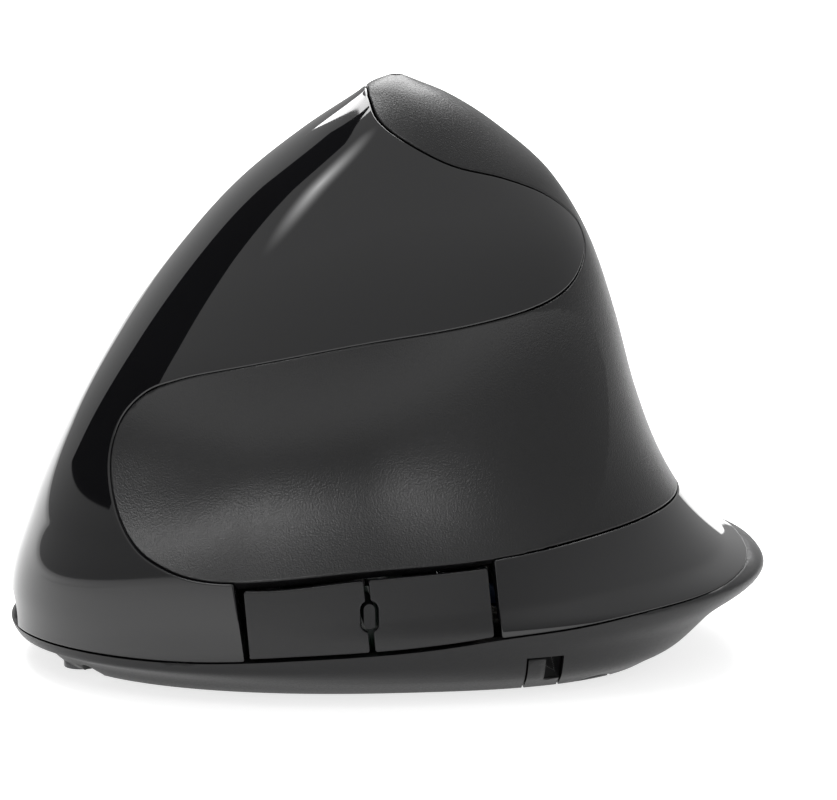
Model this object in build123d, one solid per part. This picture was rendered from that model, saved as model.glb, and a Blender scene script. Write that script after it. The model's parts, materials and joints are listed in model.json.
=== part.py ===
from build123d import *
import math
import os

# Vertical ergonomic mouse for the right hand, wireless, with two AAA cells.
# Millimetres. +Y is the nose, +X the finger side, -X the thumb side, +Z is up.
# The origin is the centre of the footprint, on the desk under the glide feet.

# Overall size of the body
overall_length = 106.0
overall_width = 72.0
overall_height = 82.0
underside_height = 0.8
wall = 2.0
floor_thickness = 1.8
overrun = 30.0

# Gaps between pieces
seam_gap = 0.2
button_gap = 0.4
side_button_gap = 1.0
side_button_foot_gap = 0.4
running_fit = 0.04
seat_gap = 0.1
door_gap = 0.3

# Wheel and the plane of the finger side. Places on that plane are given as ahead (+Y), up the
# slope, and out of the slope.
finger_slope_deg = 28.0
wheel_radius = 11.0
wheel_width = 6.4
wheel_ahead = 18.0
wheel_up = 31.2
wheel_proud = 3.0
wheel_side_gap = 0.6
tyre_thickness = 2.4
tyre_groove = 0.7
tyre_groove_count = 30
hub_width = 5.6
hub_web = 2.0
axle_radius = 1.5
axle_half_length = 7.0
wheel_travel = 0.6

# Click buttons, their hinge and switches
spine_half_width = 3.8
click_offset = 14.0
click_rear_ahead = -5.5
click_corner = 2.2
hinge_ahead = -10.5
hinge_depth = 6.2
hinge_pin_radius = 0.8
knuckle_radius = 2.0
knuckle_length = 12.0
ear_thickness = 2.4
arm_thickness = 1.8
arm_reach = 9.0
stem_width = 3.2
switch_ahead = 14.0
switch_length = 12.8
switch_width = 5.8
switch_height = 6.5
plunger_height = 0.7
plunger_length = 2.4
plunger_width = 1.2
press_gap = 0.5

# Boards and the frame under the finger side
board_thickness = 1.2
click_board_depth = 12.6
click_board_rear = -6.5
click_board_front = 30.4
click_board_low = 12.0
click_board_high = 50.5
frame_thickness = 1.6
frame_gap = 1.4
frame_rear = -13.0
frame_front = 32.4
frame_leg_thickness = 2.0
frame_leg_foot = 8.0
post_radius = 2.0
post_inset = 3.0
corner_post_back = 4.0
plate_corner_cut = 11.0
board_screw_radius = 0.8
board_screw_head_radius = 1.6
board_screw_head = 1.0

# Resolution button
dpi_ahead = -1.0
dpi_length = 7.0
dpi_width = 3.4
dpi_proud = 0.8
dpi_flange = 1.0
dpi_travel = 0.5
tact_size = 6.0
tact_height = 4.0
tact_plunger_radius = 1.6
tact_plunger = 0.5

# Wheel carrier, encoder and its switch
cheek_thickness = 1.5
carrier_half_length = 4.2
carrier_bridge = 1.5
carrier_under_gap = 0.8
encoder_width = 4.4
encoder_length = 8.4
encoder_below_axle = 2.6
encoder_above_axle = 3.0
shelf_thickness = 1.5

# Side buttons under the thumb rest
side_front = 23.2
side_rear = -11.7
side_split = 5.8
side_split_gap = 0.35
side_lean_deg = 4.5
side_front_lean_deg = 7.3
side_pivot_inset = 3.6
side_pivot_depth = 2.5
side_pin_radius = 0.6
side_knuckle_radius = 1.5
side_knuckle_height = 3.8
side_pivot_height = 12.9
side_ear_thickness = 1.3
side_bracket_depth = 8.0
side_bracket_thickness = 1.4
side_bracket_top = 15.6
side_board_front = 16.6
side_board_rear = -5.2
side_board_low = 5.2
side_switch_size = 5.0
side_switch_height = 1.8
side_switch_offset = 5.2
side_press_gap = 0.55
side_stem_width = 2.6
divider_width = 1.5
divider_height = 3.3
divider_centre_height = 13.1
divider_gap = 0.45

# Main board and what it carries
main_board_lift = 2.4
main_board_left = -19.5
main_board_right = 11.0
main_board_rear = -3.5
main_board_front = 34.0
main_tab_half_width = 24.6
main_tab_front = 3.5
chip_size = 7.0
chip_height = 1.0
sensor_x = -3.0
sensor_y = 20.0
sensor_width = 10.0
sensor_length = 12.5
sensor_height = 2.2
sensor_window = 7.0
lens_width = 14.0
lens_length = 18.0
lens_plate = 0.8
lens_barrel_radius = 2.6
aperture_length = 9.0
aperture_width = 6.4
led_radius = 1.5
led_height = 4.0
power_x = -14.5
power_y = 24.0
power_slot_length = 6.4
power_slot_width = 3.0
power_travel = 3.0
power_knob_length = 3.0
power_body_length = 9.0
power_body_width = 4.4
power_body_height = 1.9

# Cells, their bay and door
cell_length = 44.5
cell_radius = 5.25
cell_nub_radius = 1.9
cell_nub = 1.0
cell_gap = 0.8
cell_lift = 0.4
bay_centre_y = -17.35
bay_wall = 1.2
bay_side_gap = 0.3
bay_wall_height = 6.6
contact_plate = 0.4
contact_plate_width = 8.6
contact_plate_height = 8.0
battery_spring_length = 3.4
battery_spring_base_radius = 3.4
battery_spring_tip_radius = 2.2
end_play = 0.1
door_left = -26.0
door_corner = 4.0
door_axis_x = 26.6
door_axis_rise = 1.1
door_pin_radius = 0.65
door_pin_length = 1.6
door_pad_height = 1.7
door_pad_width = 4.4
latch_front = -15.8
latch_rear = -20.4
latch_top = 6.2
latch_groove_front = -18.2
latch_groove_depth = 0.9

# Stowed receiver in the tail
receiver_tilt_deg = 50.0
receiver_width = 14.4
receiver_thickness = 6.0
receiver_head = 6.8
receiver_sink = 0.3
plug_width = 12.0
plug_thickness = 4.5
plug_length = 11.6
plug_shell = 0.4
receiver_rear_y = -43.0
receiver_rear_height = 5.6
receiver_fit = 0.25
receiver_wall = 1.1

# Feet, screws and nose plug
foot_recess = 0.3
front_foot_y = 43.4
front_foot_width = 20.0
front_foot_depth = 5.0
rear_foot_y = -33.4
rear_foot_width = 17.0
rear_foot_depth = 4.2
screw_radius = 0.9
screw_head_radius = 1.9
screw_head_height = 1.2
screw_sink = 1.4
screw_length = 9.0
front_screw_x = 14.5
front_screw_y = 41.5
rear_screw_x = 12.2
rear_screw_y = -32.6
boss_radius = 3.0
boss_height = 5.0
column_radius = 2.4
nose_plug_width = 14.0
nose_plug_height = 4.2

# Thumb rest
thumb_depth = 6.0
thumb_step = 0.4
thumb_lift = 0.6

# Ribbons
ribbon_thickness = 0.5
ribbon_width = 7.0

half_length = overall_length / 2
half_width = overall_width / 2
body_height = overall_height - underside_height
floor_top = underside_height + floor_thickness

# Levels of the body, from the underside to the crest. Each row holds the level's height as a
# share of the body, its front and rear ends as shares of the half length, its left and right
# ends as shares of the half width, where along it the level is widest, the roundness of its
# rear, front-right and front-left quarters, and how much it dips towards the nose.
LEVEL_SHARES = [
    (0.000, 0.890, -0.700, -0.817, 0.833, 0.44, 2.70, 2.20, 2.20, 0.000),
    (0.027, 0.932, -0.780, -0.911, 0.944, 0.45, 2.60, 2.20, 2.20, 0.000),
    (0.055, 0.975, -0.858, -0.970, 0.985, 0.46, 2.45, 2.20, 2.20, 0.028),
    (0.104, 1.000, -1.000, -1.000, 1.000, 0.46, 2.40, 2.20, 2.20, 0.066),
    (0.150, 1.000, -0.890, -0.983, 0.967, 0.46, 2.40, 2.20, 2.20, 0.065),
    (0.286, 0.941, -0.739, -0.933, 0.861, 0.46, 2.35, 2.20, 2.25, 0.050),
    (0.434, 0.839, -0.650, -0.867, 0.722, 0.46, 2.30, 2.20, 2.35, 0.035),
    (0.581, 0.701, -0.590, -0.783, 0.567, 0.47, 2.20, 2.20, 2.50, 0.020),
    (0.717, 0.544, -0.518, -0.689, 0.394, 0.48, 2.20, 2.15, 2.50, 0.010),
    (0.828, 0.386, -0.418, -0.583, 0.228, 0.49, 2.10, 2.10, 2.35, 0.000),
    (0.914, 0.222, -0.273, -0.467, 0.078, 0.50, 2.00, 2.00, 2.10, 0.000),
    (0.969, 0.095, -0.143, -0.350, -0.056, 0.50, 2.00, 2.00, 2.00, 0.000),
    (0.991, 0.046, -0.064, -0.275, -0.131, 0.50, 2.00, 2.00, 2.00, 0.000),
    (1.000, 0.008, -0.030, -0.225, -0.175, 0.50, 2.00, 2.00, 2.00, 0.000),
]
rim_points = 28
levels_between = 1


# Smooth curve through a column of the level table


def span_slopes(at, values):
    return [(values[i + 1] - values[i]) / (at[i + 1] - at[i]) for i in range(len(at) - 1)]


def knot_slopes(at, values):
    """Slopes that keep the curve from swinging past its own values."""
    spans = span_slopes(at, values)
    slopes = [spans[0]]
    for i in range(1, len(at) - 1):
        before, after = spans[i - 1], spans[i]
        if before * after <= 0:
            slopes.append(0.0)
            continue
        near = 2 * (at[i + 1] - at[i]) + (at[i] - at[i - 1])
        far = (at[i + 1] - at[i]) + 2 * (at[i] - at[i - 1])
        slopes.append((near + far) / (near / before + far / after))
    return slopes + [spans[-1]]


def along(at, values, where):
    """Value and slope at one place of a cubic that runs through every knot."""
    slopes = knot_slopes(at, values)
    i = 0
    while i < len(at) - 2 and where > at[i + 1]:
        i += 1
    span = at[i + 1] - at[i]
    t = (where - at[i]) / span
    value = values[i] * (2 * t**3 - 3 * t**2 + 1) + values[i + 1] * (3 * t**2 - 2 * t**3)
    value += span * (slopes[i] * (t**3 - 2 * t**2 + t) + slopes[i + 1] * (t**3 - t**2))
    slope = (values[i + 1] - values[i]) * (6 * t - 6 * t**2) / span
    slope += slopes[i] * (3 * t**2 - 4 * t + 1) + slopes[i + 1] * (3 * t**2 - 2 * t)
    return value, slope


# The level table in real sizes
level_rises = [row[0] for row in LEVEL_SHARES]
COLUMN_SIZES = [half_length, half_length, half_width, half_width, 1, 1, 1, 1, 1]


def column(index, rise):
    """One column at a rise from 0 to 1, and how fast it changes per unit of height."""
    value, slope = along(level_rises, [row[index] for row in LEVEL_SHARES], rise)
    size = COLUMN_SIZES[index - 1]
    return value * size, slope * size / body_height


def level_at(rise, inset=0):
    """A level's ends, roundness and dip, drawn in square to the skin by the inset."""
    ends = []
    for index, inward in ((1, -1), (2, 1), (3, 1), (4, -1)):
        place, lean = column(index, rise)
        ends.append(place + inward * inset * min(math.hypot(1, lean), 2.0))
    front, rear, left, right = ends
    widest, rear_n, right_n, left_n, dip = [column(i, rise)[0] for i in range(5, 10)]
    return dict(
        front=front, rear=rear, left=left, right=right,
        mid_x=(left + right) / 2, mid_y=rear + widest * (front - rear),
        rear_n=rear_n, right_n=right_n, left_n=left_n, dip=dip,
        height=underside_height + rise * body_height,
    )


def rim_radius(level, angle):
    """Distance from a level's middle to its rim at an angle from +X."""
    across, ahead = math.cos(angle), math.sin(angle)
    half_across = (level["right"] - level["left"]) / 2
    half_ahead = level["front"] - level["mid_y"] if ahead > 0 else level["mid_y"] - level["rear"]
    n = level["rear_n"]
    if ahead > 0:
        n = level["right_n"] if across > 0 else level["left_n"]
    return ((abs(across) / half_across) ** n + (abs(ahead) / half_ahead) ** n) ** (-1 / n)


def rim_point(level, angle, sink=0):
    radius = rim_radius(level, angle) - sink
    x = level["mid_x"] + radius * math.cos(angle)
    y = level["mid_y"] + radius * math.sin(angle)
    return (x, y, level["height"] - level["dip"] * y)


def level_face(rise, inset):
    level = level_at(rise, inset)
    turns = [2 * math.pi * k / rim_points for k in range(rim_points)]
    return make_face(Spline([rim_point(level, turn) for turn in turns], periodic=True))


def loft_rises(low, high):
    """The table's own levels between two rises, with more in between them."""
    inner = [rise for rise in level_rises if low < rise < high]
    knots = [low] + inner + [high]
    rises = []
    for a, b in zip(knots, knots[1:]):
        rises += [a + (b - a) * k / (levels_between + 1) for k in range(levels_between + 1)]
    return rises + [high]


def body_solid(inset, low, high):
    """The body drawn in by an inset, between two rises of the level table."""
    return loft([level_face(rise, inset) for rise in loft_rises(low, high)])


# Straight ways out to the skin


def rim_share(x, y, z):
    """How far out a point lies, as a share of the way from its level's middle to the rim."""
    if z >= overall_height:
        return 2.0
    rise = (z - underside_height) / body_height
    for _ in range(4):
        dip = column(9, min(max(rise, 0), 1))[0]
        rise = (z + dip * y - underside_height) / body_height
    level = level_at(min(max(rise, 0), 1))
    ahead, across = y - level["mid_y"], x - level["mid_x"]
    return math.hypot(across, ahead) / rim_radius(level, math.atan2(ahead, across))


def skin_distance(start, direction):
    """How far the outer skin lies from a place inside the body, in a direction."""
    near, far = 0, overall_width
    for _ in range(24):
        middle = (near + far) / 2
        point = [a + middle * b for a, b in zip(start, direction)]
        if rim_share(*point) < 1:
            near = middle
        else:
            far = middle
    return near


# The planes that the pieces are laid out on
ground = Plane.XY
side_view = Plane(origin=(0, 0, 0), x_dir=(0, 1, 0), z_dir=(1, 0, 0))
front_view = Plane(origin=(0, 0, 0), x_dir=(1, 0, 0), z_dir=(0, -1, 0))
slope = math.radians(finger_slope_deg)
finger_out = (math.cos(slope), 0, math.sin(slope))
finger_up = (-math.sin(slope), 0, math.cos(slope))
finger_side = Plane(origin=(0, 0, 0), x_dir=(0, 1, 0), z_dir=finger_out)
finger_axis = Plane(origin=(0, 0, 0), x_dir=(0, 1, 0), z_dir=finger_up)


def finger_point(ahead, up, out):
    return (out * finger_out[0] + up * finger_up[0], ahead, out * finger_out[2] + up * finger_up[2])


def finger_skin(ahead, up):
    return skin_distance(finger_point(ahead, up, 0), finger_out)


def thumb_skin(y, z):
    return skin_distance((0, y, z), (-1, 0, 0))


def block(plane, low, high):
    """Box between two corners given in a plane's own directions."""
    size = [b - a for a, b in zip(low, high)]
    middle = [(a + b) / 2 for a, b in zip(low, high)]
    return plane * Pos(*middle) * Box(*size)


def rod(plane, place, radius, low, high):
    return plane * Pos(place[0], place[1], (low + high) / 2) * Cylinder(radius, high - low)


def rod_up_slope(ahead, out, radius, low, high):
    """Round bar that runs up the slope of the finger side."""
    return finger_axis * Pos(ahead, -out, (low + high) / 2) * Cylinder(radius, high - low)


def prism(plane, outline, low, high):
    return plane * Pos(0, 0, low) * extrude(outline, high - low, dir=(0, 0, 1))


def pad(plane, place, size, corner, low, high):
    """Plate with rounded corners, centred on a place of the plane."""
    outline = Pos(*place) * RectangleRounded(size[0], size[1], corner)
    return prism(plane, outline, low, high)


def joined(pieces):
    whole = pieces[0]
    for piece in pieces[1:]:
        whole = whole + piece
    return whole


# Seams. The points are shares of the half length and of the overall height in side view.
CAP_SEAM_SHARES = [
    (0.068, 0.970), (0.049, 0.937), (-0.019, 0.904), (-0.132, 0.867), (-0.264, 0.843),
    (-0.377, 0.811), (-0.460, 0.768), (-0.489, 0.729), (-0.475, 0.693), (-0.425, 0.661),
    (-0.330, 0.638), (-0.142, 0.616), (0.151, 0.589), (0.462, 0.549), (0.585, 0.526),
    (0.660, 0.500), (0.721, 0.451), (0.749, 0.384), (0.736, 0.311), (0.692, 0.256),
    (0.623, 0.226), (0.538, 0.211),
]
THUMB_FOOT_SHARES = [(0.415, 0.211), (0.128, 0.229), (-0.213, 0.245), (-0.623, 0.278)]
FINGER_SEAM_SHARES = [
    (0.068, 0.970), (0.023, 0.939), (-0.079, 0.866), (-0.170, 0.756), (-0.215, 0.610),
    (-0.234, 0.463), (-0.249, 0.354), (-0.283, 0.300), (-0.368, 0.276), (-0.623, 0.278),
]
PARTING_SHARES = [
    (1.20, 0.066), (0.90, 0.070), (0.57, 0.074), (0.28, 0.088), (0.06, 0.098), (-0.10, 0.108),
    (-0.23, 0.119), (-0.42, 0.130), (-0.62, 0.146), (-0.79, 0.157), (-0.92, 0.172), (-1.20, 0.215),
]
seam_end_share = (-1.20, 0.310)
split_share = -0.167
split_x = split_share * half_width
beyond_x = half_width + overrun
beyond_z = overall_height + overrun


def side_points(shares):
    return [(a * half_length, b * overall_height) for a, b in shares]


def shifted(points, gap):
    """A line's points moved square to it, towards its right hand."""
    moved = []
    for i, (a, b) in enumerate(points):
        before, after = points[max(i - 1, 0)], points[min(i + 1, len(points) - 1)]
        run, climb = after[0] - before[0], after[1] - before[1]
        length = math.hypot(run, climb)
        moved.append((a + gap * climb / length, b - gap * run / length))
    return moved


def seam_face(shares, gap):
    """Face behind and above a seam, as far as well past the body."""
    points = shifted(side_points(shares + [seam_end_share]), gap)
    first, last = points[0], points[-1]
    closing = Polyline(last, (last[0], beyond_z), (first[0], beyond_z), first)
    return make_face([Spline(points), closing])


def palm_block(gap):
    """All that lies on the palm's side of its seams, drawn back from them by a gap."""
    thumb = seam_face(CAP_SEAM_SHARES + THUMB_FOOT_SHARES, gap)
    finger = seam_face(FINGER_SEAM_SHARES, gap)
    return prism(side_view, thumb, -beyond_x, split_x) + prism(side_view, finger, split_x, beyond_x)


def lower_block(gap):
    """All that lies below the parting line of the base, lowered by a gap."""
    points = [(a, b - gap) for a, b in side_points(PARTING_SHARES)]
    first, last = points[0], points[-1]
    outline = make_face([Spline(points), Polyline(last, (last[0], -overrun), (first[0], -overrun), first)])
    return prism(side_view, outline, -beyond_x, beyond_x)


def height_on(shares, y):
    """Height of a seam at a place along the body."""
    points = sorted(side_points(shares))
    return along([p[0] for p in points], [p[1] for p in points], y)[0]


# Hollow of the thumb rest: how deep it is at a place in side view, from its named seams.
thumb_middle_share = 0.418
thumb_middle_slope = -0.135
thumb_half_share = 0.183
thumb_half_slope = -0.055
thumb_round_share = 0.47
thumb_front_share = 0.749
thumb_fade_share = (-0.68, 0.12)
thumb_roundness = 2.3
thumb_rise_share = (0.10, 0.78)
thumb_turn_deg = (100.0, 262.0)
thumb_rows = 22
thumb_columns = 40


def thumb_sink(y, z):
    middle = thumb_middle_share * overall_height + thumb_middle_slope * y
    half = thumb_half_share * overall_height + thumb_half_slope * y
    front = (y / half_length - thumb_round_share) / (thumb_front_share - thumb_round_share)
    rim = max(front, 0) ** thumb_roundness + abs((z - middle) / half) ** thumb_roundness
    low, high = thumb_fade_share
    fade = min(max((y / half_length - low) / (high - low), 0), 1)
    fade = fade * fade * (3 - 2 * fade)
    return fade * (thumb_step + thumb_depth * (1 - rim ** (2 / thumb_roundness))) - (1 - fade) * thumb_lift


def thumb_surface(extra):
    """Surface of the hollow, set an extra distance into the body."""
    rows = []
    for i in range(thumb_rows):
        low, high = thumb_rise_share
        level = level_at(low + (high - low) * i / (thumb_rows - 1))
        row = []
        for k in range(thumb_columns):
            first, last = thumb_turn_deg
            turn = math.radians(first + (last - first) * k / (thumb_columns - 1))
            x, y, z = rim_point(level, turn)
            row.append(rim_point(level, turn, thumb_sink(y, z) + extra))
        rows.append(row)
    return Face.make_surface_from_array_of_points(rows)


def thumb_block(extra):
    return extrude(thumb_surface(extra), overall_width, dir=(-1, 0, 0))


# The body: outer skin, half-way skin for what grows out of a wall, and the space inside
floor_rise = floor_thickness / body_height
inner_crest_share = 0.969
outer_body = body_solid(0, 0, 1)
middle_body = body_solid(wall / 2, floor_rise / 2, inner_crest_share)
cavity = body_solid(wall, floor_rise, inner_crest_share) - thumb_block(wall)
shell = outer_body - cavity


# Places on the finger side
click_places = [wheel_up + click_offset, wheel_up - click_offset]
click_skin = finger_skin(switch_ahead, wheel_up)
hinge_out = finger_skin(hinge_ahead, wheel_up) - hinge_depth
click_board_top = click_skin - click_board_depth
click_board_bottom = click_board_top - board_thickness
frame_top = click_board_bottom - frame_gap
frame_bottom = frame_top - frame_thickness
plunger_top = click_board_top + switch_height + plunger_height
wheel_out = finger_skin(wheel_ahead, wheel_up) + wheel_proud - wheel_radius
cheek_inner = wheel_width / 2 + wheel_side_gap
cheek_outer = cheek_inner + cheek_thickness
carrier_top = wheel_out - wheel_radius - carrier_under_gap
carrier_bottom = carrier_top - carrier_bridge
well_half_width = cheek_outer + seam_gap
well_half_length = wheel_radius + wheel_side_gap
wheel_window_rear = wheel_ahead - wheel_radius + wheel_side_gap * 2
wheel_window_front = wheel_ahead + wheel_radius + wheel_side_gap * 2
dpi_switch_top = click_board_top + tact_height + tact_plunger

# Windows of the click buttons: corners ahead and up the slope, as shares of the half length
# and of the overall height, next to edges that follow the spine.
LEFT_CLICK_SHARES = [(0.519, None), (0.274, 0.646), (-0.045, 0.652)]
RIGHT_CLICK_SHARES = [(0.604, None), (0.700, 0.150), (0.670, 0.091), (-0.104, 0.091)]


def click_window(side, draw_in):
    """Outline of a click button's window, drawn in on all sides."""
    shares = LEFT_CLICK_SHARES if side > 0 else RIGHT_CLICK_SHARES
    edge = wheel_up + side * spine_half_width
    corners = [(click_rear_ahead, edge)]
    for ahead, up in shares:
        corners.append((ahead * half_length, edge if up is None else up * overall_height))
    outline = make_face(Polyline(*corners, corners[0]))
    if draw_in:
        outline = offset(outline, -draw_in, kind=Kind.INTERSECTION)
    return fillet(outline.vertices(), click_corner)


def click_window_block(side, draw_in):
    return prism(finger_side, click_window(side, draw_in), click_board_bottom, click_skin + overrun)


def wheel_window_block():
    low = (wheel_window_rear, wheel_up - spine_half_width, click_board_top)
    high = (wheel_window_front, wheel_up + spine_half_width, click_skin + overrun)
    return block(finger_side, low, high)


def dpi_block(grow, low, high):
    size = (dpi_length + 2 * grow, dpi_width + 2 * grow)
    corner = size[1] / 2 - dpi_width / 100
    return pad(finger_side, (dpi_ahead, wheel_up), size, corner, low, high)


# Side button opening, in side view
def thumb_foot(y):
    return height_on(THUMB_FOOT_SHARES, y)


def parting(y):
    return height_on(PARTING_SHARES, y)


def leaned(y, height, lean_deg):
    """Place on a side button's end, which leans back towards its foot."""
    return (y + (height - side_pivot_height) * math.tan(math.radians(lean_deg)), height)


def side_region(rear, front, foot_gap, top_gap, front_lean_deg):
    """Face between the parting line and the thumb rest's lower seam, with leaning ends."""
    foot, top = [], []
    for share in [k / 4 for k in range(5)]:
        y = rear + (front - rear) * share
        lean_deg = side_lean_deg + (front_lean_deg - side_lean_deg) * share
        foot.append(leaned(y, parting(y) + foot_gap, lean_deg))
        top.insert(0, leaned(y, thumb_foot(min(y, side_front)) - top_gap, lean_deg))
    return make_face(Polyline(*foot, *top, foot[0]))


def side_block(rear, front, foot_gap, top_gap, front_lean_deg):
    region = side_region(rear, front, foot_gap, top_gap, front_lean_deg)
    return prism(side_view, region, -beyond_x, -side_board_out)


side_skin = thumb_skin(side_split, side_pivot_height)
side_plate_out = side_skin - side_bracket_depth
side_board_out = side_plate_out + board_thickness
side_switch_top = side_board_out + side_switch_height


def divider_block(grow, low, high):
    """Oval between the side buttons, as a bar that runs along X on the thumb side."""
    outline = Pos(side_split, divider_centre_height) * SlotOverall(
        divider_height + 2 * grow, divider_width + 2 * grow, rotation=90
    )
    return prism(side_view, outline, -high, -low)


# Screws: places on the base, and the plain bodies of a screw
FRONT_SCREWS = [(front_screw_x, front_screw_y), (-front_screw_x, front_screw_y)]
REAR_SCREWS = [(rear_screw_x, rear_screw_y), (-rear_screw_x, rear_screw_y)]
CASE_SCREWS = FRONT_SCREWS + REAR_SCREWS
screw_head_low = underside_height + screw_sink
screw_head_top = screw_head_low + screw_head_height
boss_top = floor_top + boss_height


def screw(plane, place, head_side, radius, head_radius, head, length):
    """Pan-head screw whose head sits on one side of a height and its shank on the other."""
    low, up = head_side
    if up:
        return rod(plane, place, head_radius, low, low + head) + rod(plane, place, radius, low - length, low)
    return rod(plane, place, head_radius, low - head, low) + rod(plane, place, radius, low, low + length)


# Cell bay
bay_half_x = (cell_length + battery_spring_length) / 2 + contact_plate + end_play
cell_pitch = 2 * cell_radius + cell_gap
cell_height = floor_top + cell_lift + cell_radius
CELL_PLACES = [(bay_centre_y + cell_pitch / 2, 1), (bay_centre_y - cell_pitch / 2, -1)]
bay_half_y = cell_pitch / 2 + cell_radius + bay_side_gap
bay_front = bay_centre_y + bay_half_y
bay_rear = bay_centre_y - bay_half_y
bay_top = floor_top + bay_wall_height
door_axis_height = underside_height + door_axis_rise
door_clear_top = underside_height + 2 * door_axis_rise + door_gap

# Receiver pocket in the tail, along its own inward axis
tilt = math.radians(receiver_tilt_deg)
receiver_in = (0, math.cos(tilt), math.sin(tilt))
tail_plane = Plane(origin=(0, receiver_rear_y, receiver_rear_height), x_dir=(1, 0, 0), z_dir=receiver_in)
receiver_end = receiver_sink + receiver_head + plug_length


def tail_block(grow, low, high):
    half_x = receiver_width / 2 + grow
    half_y = receiver_thickness / 2 + grow
    return block(tail_plane, (-half_x, -half_y, low), (half_x, half_y, high))


# Main board places
main_board_low = floor_top + main_board_lift
main_board_top = main_board_low + board_thickness
POST_PLACES = [
    (x, y)
    for x in (main_board_left + post_inset, main_board_right - post_inset)
    for y in (main_tab_front - post_inset, main_board_front - post_inset)
]


# Casing


def foot_pad(y, width, depth, low, high):
    return pad(ground, (0, y), (width, depth), depth / 2 - depth / 50, low, high)


FEET = {
    "front_glide_foot": (front_foot_y, front_foot_width, front_foot_depth),
    "rear_glide_foot": (rear_foot_y, rear_foot_width, rear_foot_depth),
}


def glide_foot(name):
    return foot_pad(*FEET[name], 0, underside_height + foot_recess)


def bay_ring():
    """Walls round the two cells, standing on the floor before and behind the door."""
    low, high = floor_top - floor_thickness / 2, bay_top
    outer_x, front, rear = bay_half_x + bay_wall, bay_front + bay_wall, bay_rear - bay_wall
    outside = block(ground, (-outer_x, rear, low), (outer_x, front, high))
    inside = block(ground, (-bay_half_x, bay_rear, low - overrun), (bay_half_x, bay_front, high + overrun))
    return (outside - inside) & middle_body


def door_pads():
    """Blocks on the floor that hold the door's two trunnions."""
    pads = []
    for edge, way in ((bay_front, 1), (bay_rear, -1)):
        near, far = edge, edge + way * (door_pin_length + bay_wall)
        low = (door_axis_x - door_pad_width / 2, min(near, far), floor_top - floor_thickness / 2)
        high = (door_axis_x + door_pad_width / 2, max(near, far), floor_top + door_pad_height)
        pads.append(block(ground, low, high))
    return joined(pads) & middle_body


def door_opening():
    left = door_left - door_gap
    right = door_axis_x + door_axis_rise + door_gap
    size = (right - left, bay_front - bay_rear)
    plate = pad(ground, ((left + right) / 2, bay_centre_y), size, door_corner, -overrun, door_clear_top)
    square = block(ground, (right - 2 * door_corner, bay_rear, -overrun), (right, bay_front, door_clear_top))
    rear, front = latch_rear - door_gap, latch_front + door_gap
    latch = block(ground, (-beyond_x, rear, -overrun), (door_left + door_gap, front, latch_top + door_gap))
    return plate + square + latch


def trunnion_bores(radius, grow):
    low, high = bay_rear - door_pin_length - grow, bay_front + door_pin_length + grow
    return rod(front_view, (door_axis_x, door_axis_height), radius, -high, -low)


def bottom_shell():
    body = shell & lower_block(seam_gap)
    root = floor_top - floor_thickness / 2
    bosses = [rod(ground, p, boss_radius, root, boss_top) for p in CASE_SCREWS]
    posts = [rod(ground, p, post_radius, root, main_board_low) for p in POST_PLACES]
    body = body + (joined(bosses) & middle_body) + joined(posts) + bay_ring() + door_pads()
    pocket = tail_block(receiver_fit + receiver_wall, -overrun, receiver_end + receiver_wall)
    body = body + (pocket & middle_body)
    body = body - tail_block(receiver_fit, -overrun, receiver_end + receiver_fit)
    body = body - door_opening() - trunnion_bores(door_pin_radius + running_fit, running_fit)
    for p in CASE_SCREWS:
        body = body - rod(ground, p, screw_head_radius + seam_gap, -overrun, screw_head_top)
        body = body - rod(ground, p, screw_radius + running_fit, 0, boss_top + overrun)
    for p in POST_PLACES:
        body = body - rod(ground, p, board_screw_radius, floor_top, main_board_low + overrun)
    for y, width, depth in FEET.values():
        body = body - foot_pad(y, width, depth, -overrun, underside_height + foot_recess)
    through = (-overrun, floor_top + overrun)
    window = (aperture_width, aperture_length)
    body = body - pad(ground, (sensor_x, sensor_y), window, aperture_width / 3, *through)
    slot = (power_slot_width, power_slot_length)
    return body - pad(ground, (power_x, power_y), slot, power_slot_width / 8, *through)


def screw_columns(places):
    """Columns that the case screws bite into, from just above the bosses up into the skin."""
    columns = [rod(ground, p, column_radius, boss_top + seat_gap, overall_height) for p in places]
    hole_top = screw_head_top + screw_length + seam_gap
    holes = [rod(ground, p, screw_radius, boss_top, hole_top) for p in places]
    return (joined(columns) & middle_body) - joined(holes)


def nose_arch(grow, deep):
    """Arch-shaped bar through the nose, standing on the parting line."""
    height = parting(half_length) + nose_plug_height + grow
    size = (nose_plug_width + 2 * grow, 2 * height)
    outline = RectangleRounded(size[0], size[1], nose_plug_height * 0.9)
    return prism(front_view, outline, -half_length - overrun, -half_length + deep)


def front_shell():
    body = upper_shell - palm_block(0) - nose_arch(seam_gap, wall * 3)
    body = body - side_block(side_rear, side_front, -wall, -side_button_gap, side_front_lean_deg)
    for side in (1, -1):
        body = body - click_window_block(side, 0)
    body = body - wheel_window_block() - dpi_block(button_gap, click_board_top, click_skin + overrun)
    return body + (screw_columns(FRONT_SCREWS) - palm_block(-seam_gap))


def palm_shell():
    skin = (upper_shell & palm_block(seam_gap)) - thumb_block(0)
    return skin + screw_columns(REAR_SCREWS)


def nose_plug():
    """Plug that fills the arch from inside, set back by half of the wall."""
    return ((upper_shell & middle_body) - lower_block(-seam_gap)) & nose_arch(0, wall * 1.5)


def case_screws():
    sizes = (screw_radius, screw_head_radius, screw_head_height, screw_length)
    return joined([screw(ground, p, (screw_head_top, False), *sizes) for p in CASE_SCREWS])


# Click buttons


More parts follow.
